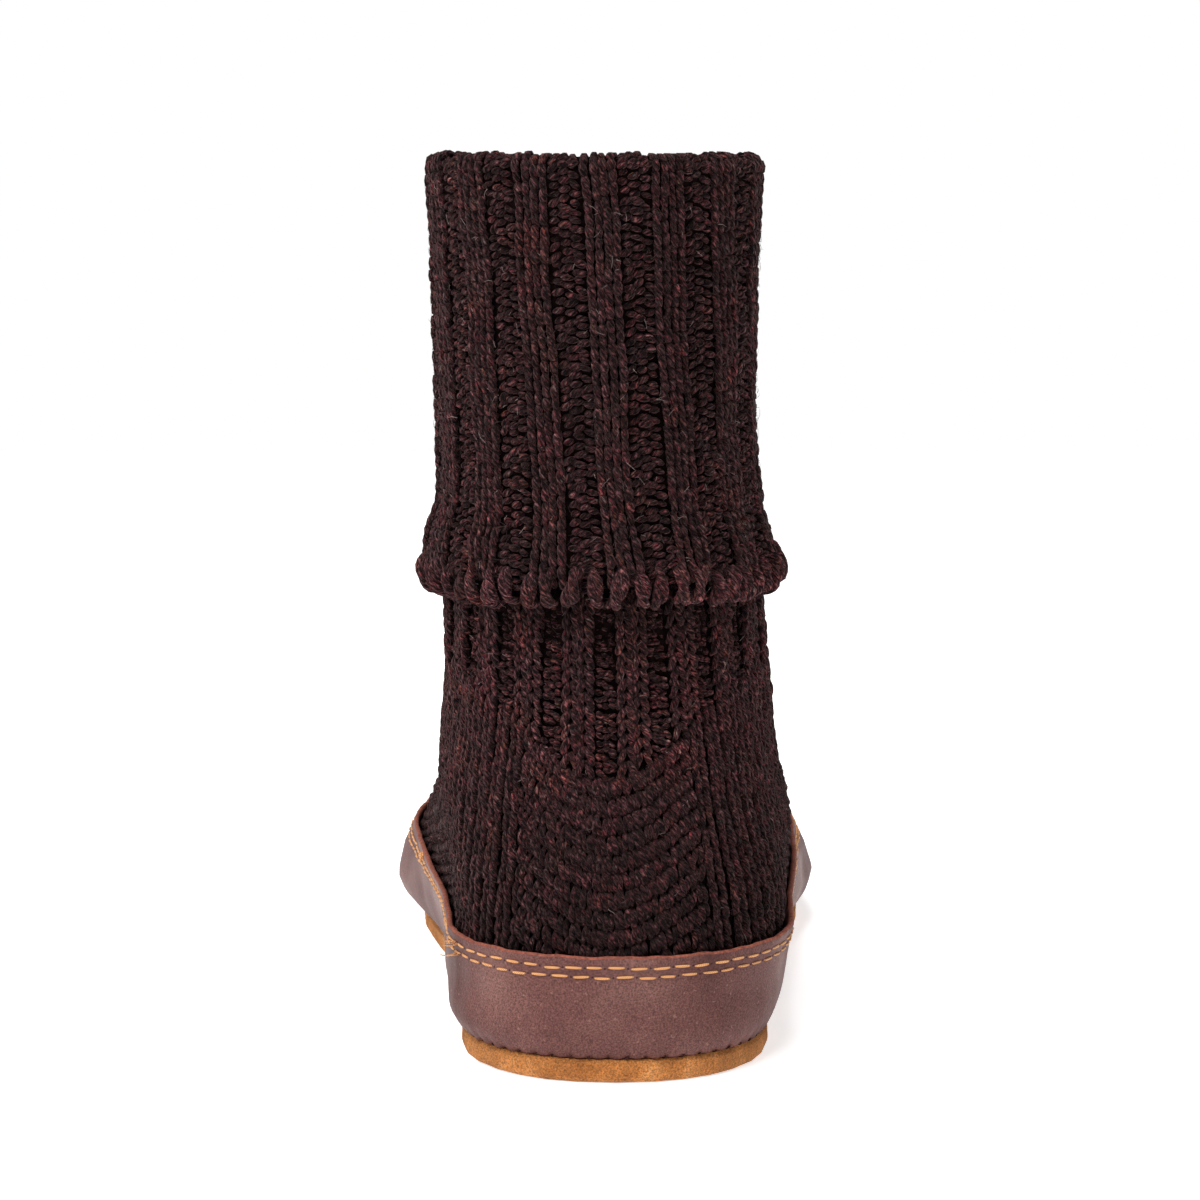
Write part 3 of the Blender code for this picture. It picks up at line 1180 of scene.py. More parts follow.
@dataclass
class Cuff:
    """The turned-down cuff in two-by-two rib, over the fold and a little way inside."""

    form: Form
    ribs: int = 15
    row: float = 2.7 * MM
    row_stray: float = 0.12 * MM
    purl_row: float = 1.95 * MM
    edge_height: float = 110.0 * MM
    under_edge: float = 5.0 * MM
    fold_height: float = 202.95 * MM
    inside_height: float = 184.0 * MM
    axis_x: float = -3.1 * MM
    axis_y: float = -87.0 * MM
    ring_steps: int = 120
    turn_at_top: float = 0.02
    turn_at_edge: float = 0.17
    valley: float = 0.42 * MM
    gully: float = 0.20 * MM
    side_shift: float = 0.60
    side_tilt: float = -0.18
    plain: StitchShape = StitchShape(
        radius=0.76 * MM, narrow=0.240, wide=0.266, start=-0.14, end=1.14, dive=1.45,
        depth=0.76 * MM, bead=0.30, samples=5)
    middle_lens: LensShape = LensShape(0.34, 0.84 * MM)
    side_lens: LensShape = LensShape(0.29, 0.80 * MM)
    stray: float = 0.0013
    loops: int = 52
    loop_top: float = 10.6 * MM
    loop_tip: float = -0.6 * MM
    loop_fat: float = 1.16 * MM
    loop_turns: float = 0.85
    wales: Wales = field(init=False)

    def ring(self, height: float, face: Face) -> np.ndarray:
        """A level ring of the cuff or of the leg's inside.

        Args:
            height: Its height.
            face: Which face to follow.

        Returns:
            The ring's points.
        """
        centre = np.array([self.axis_x, self.axis_y, height])
        return self.form.ring(centre, np.array([0.0, -1.0, 0.0]), self.ring_steps, face)

    def sections(self) -> list[np.ndarray]:
        """Rings from the cuff's edge up, over the fold and down inside.

        Returns:
            The rings.
        """
        low = self.edge_height - self.under_edge
        rings = [self.ring(height, Face.OUTSIDE)
                 for height in np.linspace(low, self.fold_height, 34)]
        outer = rings[-1]
        inner = self.ring(self.fold_height - 1.0 * MM, Face.INSIDE)
        inner[:, 2] = self.fold_height
        middle = (outer + inner) / 2.0
        reach = (outer - inner) / 2.0
        lift = np.linalg.norm(reach, axis=1)[:, None] * UP
        for turn in np.linspace(0.0, math.pi, 13)[1:]:
            rings.append(middle + reach * math.cos(turn) + lift * math.sin(turn))
        down = np.linspace(self.fold_height - 3.0 * MM, self.inside_height, 8)
        return rings + [self.ring(height, Face.INSIDE) for height in down]

    def lay_wales(self) -> Wales:
        """Spaces the cuff's wales evenly round its rings, with the ribs' slight turn.

        Returns:
            The wales, four to a rib.
        """
        count = 4 * self.ribs
        columns = []
        for ring in self.sections():
            share = np.clip((self.fold_height - ring[:, 2].mean())
                            / (self.fold_height - self.edge_height), 0.0, 1.0)
            turn = self.turn_at_top + (self.turn_at_edge - self.turn_at_top) * share
            at = (np.arange(count) - 0.5) / count + turn / (2.0 * math.pi)
            columns.append(round_ring(ring, np.mod(at + self.wander(share, count), 1.0)))
        return Wales(np.stack(columns, axis=1))

    def wander(self, share: float, count: int) -> np.ndarray:
        """How far each wale strays sideways at a height, as a share of the way round.

        Args:
            share: How far down the cuff, from 0 at the fold to 1 at the edge.
            count: How many wales there are.

        Returns:
            The wales' sideways shifts.
        """
        wale = np.arange(count)
        rib = np.floor((wale + 1) / 4.0)
        ribs = np.sin(7.3 * share + 2.4 * rib) + 0.6 * np.sin(15.0 * share + 4.1 * rib)
        wales = np.sin(11.0 * share + 1.9 * wale) + np.sin(23.0 * share + 3.7 * wale)
        return self.stray * (ribs + 0.30 * wales)

    def build(self) -> list[bpy.types.Object]:
        """Builds the ribs, the purls between them and the loops of the edge.

        Returns:
            The pieces.
        """
        self.wales = self.lay_wales()
        knitter = Knitter(self.wales)
        ribs = Strands("cuff_ribs", 6)
        purls = Strands("cuff_purls", 6)
        length = self.wales.run.max()
        for wale in range(4 * self.ribs):
            place = wale % 4
            if place in (0, 1):
                rows = np.arange(7.0 * MM + spread(1, 1.6 * MM)[0], length - 4.4 * MM,
                                 self.row)
                rows = rows + scatter(len(rows), self.row_stray)
                knitter.legs(ribs, wale, rows, np.full(len(rows), self.row), self.plain)
            elif place == 2:
                rows = np.arange(6.0 * MM + spread(1, 1.0 * MM)[0], length - 3.0 * MM,
                                 self.purl_row)
                knitter.lenses(purls, wale, rows, self.purl_row, 0.5, self.valley, 0.0,
                               self.middle_lens)
                for side in Side:
                    later = rows + self.purl_row * (0.45 + 0.05 * side.value)
                    knitter.lenses(purls, wale, later, self.purl_row,
                                   0.5 + self.side_shift * side.value,
                                   self.valley + self.gully, self.side_tilt * side.value,
                                   self.side_lens)
        return [dress(ribs.finish(), YarnFinish()), dress(purls.finish(), YarnFinish()),
                self.build_edge()]

    def build_edge(self) -> bpy.types.Object:
        """Builds the cast-on loops: fat twisted strands that hang over the edge.

        Returns:
            The loops.
        """
        strands = Strands("cast_on_loops", 7)
        t = np.linspace(0.0, 1.0, 13)
        count = self.loops
        wales = 4 * self.ribs
        places = (np.arange(count) + spread(count, 0.34)) / count * wales
        tops = self.loop_top + scatter(count, 0.8 * MM)
        tips = self.loop_tip + scatter(count, 0.7 * MM)
        lean = np.where(np.arange(count) % 2 == 0, 0.9, -0.5) * (1.0 + spread(count, 1.6)) * MM
        for place, top, tip, slant in zip(places, tops, tips, lean):
            wale = int(place) % wales
            run = top + (tip - top) * t
            point, out, across, width = self.wales.at(wale, np.maximum(run, 0.0))
            point = point + np.minimum(run, 0.0)[:, None] * UP
            side = (place - int(place)) * width + slant * (0.5 - t) * 2.0
            proud = (-2.1 + 3.0 * np.sin(np.pi * np.clip(t * 1.04, 0.0, 1.0)) ** 0.7
                     - 1.6 * np.clip((t - 0.86) / 0.14, 0.0, 1.0)) * MM
            middle = point + across * side[:, None] + out * proud[:, None]
            fat = self.loop_fat + scatter(1, 0.15)[0] * MM
            twist = 2.0 * math.pi * (-self.loop_turns * t + RANDOM.random())
            # The loops' raised tone is partly painted highlight on the proud edge; its scatter
            # is their own varied colour.
            tone = 0.74 + scatter(1, 0.30)
            for ply in (0.0, math.pi):
                swing = 0.72 * fat * np.cos(twist + ply)
                heave = 0.50 * fat * np.sin(twist + ply)
                path = middle + across * swing[:, None] + out * heave[:, None]
                size = fat * (0.60 + 0.32 * np.sin(np.pi * t) ** 0.6)
                strands.lay(path[None], out[None], size[None], 1.0, tone)
        return dress(strands.finish(), YarnFinish())


@dataclass
class Body:
    """The knit below the cuff: ribbed leg and instep, plain heel and sides."""

    form: Form
    wales_round: int = 60
    leg_top: float = 104.3 * MM
    leg_x: float = -0.8 * MM
    under_cuff: float = 9.0 * MM
    under_cuff_slope: float = 1.6 * MM
    pivot_y: float = -14.0 * MM
    leg_reach: float = 71.0 * MM
    heel_reach: float = 60.0 * MM
    heel_x: float = 1.6 * MM
    toe_x: float = 2.6 * MM
    arch_height: float = 44.0 * MM
    toe_height: float = 13.0 * MM
    toe_turn_y: float = 92.0 * MM
    toe_turn: float = 72.0
    rib_row: float = 3.15 * MM
    heel_row: float = 4.2 * MM
    side_row: float = 2.95 * MM
    foot_row: float = 3.7 * MM
    heel_rise: float = 21.0 * MM
    heel_spread: float = 5.5
    heel_end_y: float = -70.0 * MM
    heel_half: int = 4
    heel_strokes: tuple = (-0.375, -0.125, 0.125, 0.375)
    heel_yarn: float = 0.77 * MM
    heel_depth: float = 0.68 * MM
    instep_grows: tuple = (30.0 * MM, 60.0 * MM)
    foot_grows: tuple = (90.0 * MM, 120.0 * MM)
    # Tone by height: darker low on the foot, lighter on the upper leg, and darker again just
    # under the cuff's edge, where it is painted shade of the cuff's overhang.
    tone_levels: tuple = (28.0 * MM, 52.0 * MM, 72.0 * MM, 94.0 * MM, 104.0 * MM)
    height_tones_with_painted_shade: tuple = (-0.42, -0.30, 0.02, 0.13, -0.30)
    drawn_in: float = 0.10
    rib: StitchShape = StitchShape(
        radius=0.75 * MM, narrow=0.11, wide=0.345, start=-0.14, end=1.10, dive=1.75,
        depth=0.55 * MM, bead=0.16)
    coarse: StitchShape = StitchShape(
        radius=1.00 * MM, narrow=0.12, wide=0.34, start=-0.20, end=1.14, dive=1.25,
        depth=0.92 * MM, bead=0.10, samples=5)
    coarse_purls: tuple = (
        ArcShape(shift=-0.16, bow=0.10, radius=0.78 * MM, sink=0.8 * MM, half=0.26),
        ArcShape(shift=0.17, bow=-0.10, radius=0.74 * MM, sink=0.9 * MM, half=0.25))
    bead: LensShape = LensShape(0.18, 0.70 * MM, samples=4)
    bead_tilt: float = 0.25
    bead_row: float = 1.6 * MM
    rim_height: float = 24.5 * MM
    ring_steps: int = 110
    wale_width: float = 4.12 * MM
    widening: float = 6.0
    instep_half: float = 14.0
    rib_end_run: float = 46.5 * MM
    wales: Wales = field(init=False)

    def planes(self) -> list[tuple[np.ndarray, np.ndarray]]:
        """The cutting planes, from the ankle round the heel and on to the toe.

        Returns:
            Pairs of a middle point and the direction in which a ring begins.
        """
        cuts = []
        pivot = np.array([0.0, self.pivot_y, self.leg_top])
        for turn in np.radians(np.linspace(0.0, 90.0, 40)):
            back = np.array([0.0, -math.cos(turn), -math.sin(turn)])
            share = turn / (math.pi / 2.0)
            reach = self.leg_reach + (self.heel_reach - self.leg_reach) * share
            side = self.leg_x + (self.heel_x - self.leg_x) * share
            cuts.append((pivot + back * reach + np.array([side, 0.0, 0.0]), back))
        for y in np.linspace(self.pivot_y, self.toe_turn_y, 37)[1:]:
            share = (y - self.pivot_y) / (self.toe_turn_y - self.pivot_y)
            side = self.heel_x + (self.toe_x - self.heel_x) * share
            height = self.arch_height + (self.toe_height - self.arch_height) * share
            cuts.append((np.array([side, y, height]), -UP))
        last = cuts[-1][0]
        for turn in np.radians(np.linspace(0.0, self.toe_turn, 30))[1:]:
            cuts.append((last, np.array([0.0, -math.sin(turn), -math.cos(turn)])))
        return cuts

    def spaced(self, half: np.ndarray, wales: np.ndarray) -> np.ndarray:
        """Points along half a ring, from the front middle to the back.

        Args:
            half: The half ring's points, from the front middle.
            wales: How many wales from the front middle each point lies.

        Returns:
            The points.
        """
        run = lengths(half)
        full = self.wales_round / 2.0
        base = min(self.wale_width, run[-1] / full)
        extra = run[-1] - base * full
        low, high = self.widening, full + 3.0
        share = smooth_step(wales, low, high) / smooth_step(full, low, high)
        return along_line(half, run, base * wales + extra * share)

    def lay_wales(self) -> Wales:
        """Lays the wales over the form.

        Returns:
            The wales: the back middle first, then round by the inner side.
        """
        half = self.wales_round // 2
        columns = []
        for centre, back in self.planes():
            ring = self.form.ring(centre, back, self.ring_steps)
            middle = self.ring_steps // 2
            inner = ring[:middle + 1][::-1]
            outer = np.concatenate([ring[middle:], ring[:1]])
            right = self.spaced(inner, half - np.arange(half + 1.0))
            left = self.spaced(outer, np.arange(1.0, half))
            columns.append(np.concatenate([right, left]))
        first = columns[0]
        flow = unit(first - first.mean(axis=0))
        above = [first + UP * (self.under_cuff * step) - flow * self.under_cuff_slope * step
                 for step in (1.0, 0.66, 0.33)]
        return Wales(np.stack(above + columns, axis=1))

    def far_from_back(self, wale: int) -> int:
        """How many wales a wale lies from the back middle."""
        return min(wale, self.wales_round - wale)

    def heel_start(self, away: float) -> float:
        """Where the heel's rows begin, this many wales from the back middle."""
        drop = 1.0 - math.exp(-(away / self.heel_spread) ** 2)
        return self.rib_end_run - self.heel_rise * drop

    def rows(self, wale: int) -> tuple[np.ndarray, np.ndarray, float]:
        """Where a wale's stitches begin, and how tall they are.

        Args:
            wale: The wale.

        Returns:
            The distances along the wale, the heights, and where its ribs end.
        """
        away = self.far_from_back(wale)
        on_instep = away > self.wales_round / 2.0 - self.instep_half
        end = self.wales.run[wale, -1] - 1.0 * MM
        if on_instep:
            rib_end = math.inf
            pitch = [self.rib_row]
            while sum(pitch) < end:
                grown = smooth_step(sum(pitch), *self.instep_grows)
                pitch.append(self.rib_row + (self.foot_row - self.rib_row) * grown)
        else:
            rib_end = self.heel_start(away)
            ribs = round(rib_end / self.rib_row)
            pitch = [rib_end / ribs] * ribs
            aside = smooth_step(away, 3.0, 12.0)
            heel = self.heel_row + (self.side_row - self.heel_row) * aside
            while sum(pitch) < end:
                grown = smooth_step(sum(pitch), *self.foot_grows)
                pitch.append(heel + (self.foot_row - heel) * grown)
        heights = np.array(pitch)
        runs = np.cumsum(heights) - heights
        return runs, heights, rib_end - 0.01 * MM

    def heel_shape(self, wale: int) -> StitchShape:
        """The heel's outer stitches, where each wale draws in to one upright ridge.

        Args:
            wale: The wale.

        Returns:
            The stitches' shape.
        """
        far = float(smooth_step(self.far_from_back(wale), 8.0, 13.0))
        return StitchShape(radius=0.90 * MM, narrow=0.160 + 0.035 * far,
                           wide=0.250 + 0.050 * far, start=-0.14, end=1.12, dive=1.10,
                           depth=0.70 * MM, bead=0.10)

    def lay_heel(self, knitter: Knitter, strands: Strands, wale: int) -> None:
        """Lays a wale of the heel's back: four fine strokes side by side in each row.

        Args:
            knitter: Who lays the stitches.
            strands: The mesh they go into.
            wale: The wale.
        """
        signed = wale if wale < self.wales_round / 2.0 else wale - self.wales_round
        end = self.wales.run[wale, -1]
        for shift in self.heel_strokes:
            start = self.heel_start(abs(signed + shift))
            runs = np.arange(start, end, self.heel_row)
            runs = runs[self.shown(wale, runs + 2.0 * MM)]
            knitter.strokes(strands, wale, runs, self.heel_row, shift, self.heel_yarn,
                            self.heel_depth)

    def shown(self, wale: int, runs: np.ndarray) -> np.ndarray:
        """Which stitches stand above the leather's rim."""
        point = self.wales.at(wale, runs)[0]
        return point[:, 2] > self.rim_height

    def build(self) -> list[bpy.types.Object]:
        """Builds the leg, the heel, the instep and the sides.

        Returns:
            The pieces.
        """
        self.wales = self.lay_wales()
        knitter = Knitter(self.wales, self.tone_levels, self.height_tones_with_painted_shade)
        leg = Strands("leg_ribs", 6)
        leg_purls = Strands("leg_purls", 5)
        heel = Strands("heel_knit", 6)
        instep = Strands("instep_ribs", 5)
        instep_purls = Strands("instep_purls", 5)
        sides = Strands("side_knit", 5)
        leg_length = self.rib_end_run + 2.0 * MM
        for wale in range(self.wales_round):
            away = self.far_from_back(wale)
            purl = away % 3 == 0
            runs, heights, rib_end = self.rows(wale)
            seen = self.shown(wale, runs)
            runs, heights = runs[seen], heights[seen]
            if math.isinf(rib_end):
                near = runs < leg_length
                self.lay_rib(knitter, wale, purl, runs[near], heights[near], leg, leg_purls,
                             Gauge.FINE)
                self.lay_rib(knitter, wale, purl, runs[~near], heights[~near], instep,
                             instep_purls, Gauge.COARSE)
                continue
            ribbed = runs < rib_end
            self.lay_rib(knitter, wale, purl, runs[ribbed], heights[ribbed], leg, leg_purls,
                         Gauge.FINE)
            behind = self.wales.at(wale, runs)[0][:, 1] < self.heel_end_y
            back = ~ribbed & behind
            front = ~ribbed & ~behind
            if away <= self.heel_half:
                self.lay_heel(knitter, heel, wale)
            else:
                knitter.legs(heel, wale, runs[back], heights[back], self.heel_shape(wale))
            knitter.legs(sides, wale, runs[front], heights[front], self.coarse)
        pieces = [leg, leg_purls, heel, instep, instep_purls, sides]
        return [dress(strands.finish(), YarnFinish()) for strands in pieces]

    def lay_rib(self, knitter: Knitter, wale: int, purl: bool, runs: np.ndarray,
                heights: np.ndarray, strands: Strands, bumps: Strands,
                gauge: Gauge) -> None:
        """Lays one wale of the two-by-one rib.

        Args:
            knitter: Who lays the stitches.
            wale: The wale.
            purl: Whether it is a purl wale.
            runs: Where its stitches begin.
            heights: How tall they are.
            strands: The mesh of the plain stitches.
            bumps: The mesh of the purl bumps.
            gauge: How closely the rib is knitted.
        """
        if not purl:
            inward = 1.0 if self.far_from_back(wale) % 3 == 1 else -1.0
            if wale >= self.wales_round / 2.0:
                inward = -inward
            shape = self.coarse if gauge is Gauge.COARSE else self.rib
            knitter.legs(strands, wale, runs, heights, shape, self.drawn_in * inward)
            return
        if gauge is Gauge.COARSE:
            for half_rows, arc in enumerate(self.coarse_purls):
                knitter.arcs(bumps, wale, runs + heights * half_rows / 2.0, heights, arc)
            return
        if len(runs) == 0:
            return
        beads = np.arange(max(runs[0], 8.0 * MM), runs[-1] + heights[-1] + 1.2 * MM,
                          self.bead_row)
        gully = (1.45 - 1.10 * smooth_step(beads, 14.0 * MM, 32.0 * MM))[:, None] * MM
        for place in (-0.33, 0.0, 0.32):
            later = beads + spread(len(beads), 0.9 * MM)
            sink = gully + scatter((len(beads), 1), 0.18 * MM)
            knitter.lenses(bumps, wale, later, self.bead_row, place, sink, self.bead_tilt,
                           self.bead)


@dataclass
class Ground:
    """The thin sleeve under the stitches, and the inside of the sock, near black as painted
    shade.
    """

    node: str = "sock_upper"
    outside_in: float = 2.0 * MM
    inside_in: float = 0.40 * MM
    collar: float = 187.0 * MM
    collar_in: float = 1.15 * MM
    collar_out: float = 1.50 * MM
    hem_bottom: float = 102.0 * MM
    hem_top: float = 111.5 * MM
    hem_height: float = 111.2 * MM
    leg_reach: float = 37.0 * MM
    leg_axis: tuple = (-3.0 * MM, -85.5 * MM)
    foot_top: float = 62.0 * MM
    spine_back: float = -95.0 * MM
    spine_front: float = 80.0 * MM
    spine_leg: float = -86.0 * MM
    spine_height: float = 18.0 * MM
    seat_top: float = 7.0 * MM
    seat_in: float = 0.2 * MM

    def build(self) -> bpy.types.Object:
        """Builds the sleeve from the knit's own form, drawn in from both faces.

        Returns:
            The piece, which stands for the knit.
        """
        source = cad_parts[self.node]
        mesh = source.data.copy()
        mesh.name = "knit_ground"
        mesh.materials.clear()
        obj = bpy.data.objects.new("knit_ground", mesh)
        bpy.context.scene.collection.objects.link(obj)
        points, normals = read_points(mesh), read_points(mesh, "normal")
        spine = points.copy()
        spine[:, 0] = 0.0
        low = points[:, 2] < self.foot_top
        spine[:, 1] = np.where(low, np.clip(points[:, 1], self.spine_back, self.spine_front),
                               self.spine_leg)
        spine[:, 2] = np.where(low, self.spine_height, points[:, 2])
        outer = np.einsum("ij,ij->i", normals, points - spine) > 0.0
        collar = points[:, 2] > self.collar
        inward = np.where(outer, np.where(collar, self.collar_out, self.outside_in),
                          np.where(collar, self.collar_in, self.inside_in))
        inward[points[:, 2] < self.seat_top] = self.seat_in
        points -= normals * inward[:, None]
        hem = (points[:, 2] > self.hem_bottom) & (points[:, 2] < self.hem_top)
        from_leg = points[:, :2] - np.array(self.leg_axis)
        hem &= np.hypot(from_leg[:, 0], from_leg[:, 1]) > self.leg_reach
        points[hem, 2] = np.maximum(points[hem, 2], self.hem_height)
        move_points(mesh, points)
        mesh.shade_smooth()
        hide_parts(self.node)
        return dress(obj, GroundFinish())


@dataclass(frozen=True)
class Cord:
    """One kind of cord inside the collar."""

    sink: float
    radius: float
    flat: float
    tone: float


@dataclass
class Lining:
    """The cords of the ribs seen down inside the collar."""

    cuff: Cuff
    plain: Cord = Cord(sink=0.28 * MM, radius=1.02 * MM, flat=0.46, tone=0.58)
    # The purl cords' low tone is painted shade of the rib's valleys; both kinds are the same
    # yarn.
    purl: Cord = Cord(sink=0.42 * MM, radius=0.84 * MM, flat=0.36, tone=0.16)
    top: float = 188.0 * MM
    bottom: float = 84.0 * MM
    bead: float = 2.15 * MM
    waist: float = 0.72

    def build(self) -> bpy.types.Object:
        """Builds the inner ribs as beaded cords.

        Returns:
            The piece.
        """
        heights = np.arange(self.top, self.bottom, -self.bead)
        count = 4 * self.cuff.ribs
        at = np.mod((np.arange(count) - 0.5) / count
                    + self.cuff.turn_at_top / (2.0 * math.pi), 1.0)
        columns = [round_ring(self.cuff.ring(height, Face.INSIDE), at) for height in heights]
        wales = Wales(np.stack(columns, axis=1), inside_out=True)
        strands = Strands("inside_ribs", 5)
        beat = np.where(np.arange(len(heights)) % 2 == 0, 1.0, self.waist)
        for wale in range(count):
            cord = self.plain if wale % 4 in (0, 1) else self.purl
            run = wales.run[wale]
            point, out, across, width = wales.at(wale, run)
            for side in Side:
                sway = side.value * (0.26 + scatter(len(run), 0.02)) * width
                sink = cord.sink + scatter(len(run), 0.03 * MM)
                path = point + across * sway[:, None] - out * sink[:, None]
                size = cord.radius * beat
                strands.lay(path[None], out[None], size[None], cord.flat,
                            cord.tone + scatter(1, 0.1))
        return dress(strands.finish(), YarnFinish())


@dataclass
class Fuzz:
    """Stray fibres that stand off the wool."""

    cuff: Cuff
    body: Body
    count: int = 9500
    on_cuff: float = 0.42
    on_body: float = 0.58
    width: float = 0.05 * MM
    shortest: float = 0.9 * MM
    longer: float = 2.1 * MM
    rooted: float = 0.25 * MM
    lowest: float = 31.0 * MM
    highest: float = 198.0 * MM

    def build(self) -> list[bpy.types.Object]:
        """Builds dark and pale hairs as fine curved ribbons of three sides.

        Returns:
            The pieces.
        """
        kinds = ((FibreFinish("dark_hairs", (0.055, 0.026, 0.026)), 0.88),
                 (FibreFinish("pale_hairs", (0.36, 0.27, 0.25)), 0.12))
        pieces = []
        for finish, share in kinds:
            strands = Strands("stray_" + finish.name, 3)
            for wales, part in ((self.cuff.wales, self.on_cuff),
                                (self.body.wales, self.on_body)):
                self.scatter_over(strands, wales, int(self.count * share * part))
            pieces.append(dress(strands.finish(), finish))
        return pieces

    def scatter_over(self, strands: Strands, wales: Wales, count: int) -> None:
        """Scatters hairs over a set of wales.

        Args:
            strands: The mesh they go into.
            wales: Where they grow.
            count: How many.
        """
        t = np.linspace(0.0, 1.0, 3)
        picks = RANDOM.integers(0, len(wales.points), count)
        for wale in range(len(wales.points)):
            many = int((picks == wale).sum())
            if many == 0:
                continue
            run = RANDOM.random((many, 1)) * (wales.run[wale, -1] - 2.0 * MM) + 1.0 * MM
            point, out, across, width = wales.at(wale, run)
            height = point[:, 0, 2]
            seen = (height > self.lowest) & (height < self.highest)
            point, out, across, width = point[seen], out[seen], across[seen], width[seen]
            many = len(point)
            ahead = np.cross(out, across)
            length = self.shortest + self.longer * RANDOM.random((many, 1, 1)) ** 2
            heading = RANDOM.random((many, 1, 1)) * 2.0 * np.pi
            flat = across * np.cos(heading) + ahead * np.sin(heading)
            swerve = across * -np.sin(heading) + ahead * np.cos(heading)
            curl = scatter((many, 1, 1), 0.35)
            stand = 0.15 + 0.50 * RANDOM.random((many, 1, 1)) ** 2
            s = t[None, :, None]
            path = (point + across * spread((many, 1, 1), 0.8) * width[..., None]
                    + flat * s * length + swerve * curl * s**2 * length
                    + out * (stand * length * np.sin(np.pi * 0.62 * s) * 0.55 - self.rooted))
            size = self.width * (1.0 - 0.6 * t)[None] * (0.7 + 0.6 * RANDOM.random((many, 1)))
            strands.lay(path, np.broadcast_to(out, path.shape), size)


@dataclass(frozen=True)
class Dent:
    """A soft trough or ridge pressed into the leather."""

    turn: float
    height: float
    wide: float
    tall: float
    depth: float


@dataclass(frozen=True)
class Fray:
    """A loose thread end: its drop below the rim, its place, its reach and its rise."""

    drop: float
    shift: float
    reach: float
    rise: float


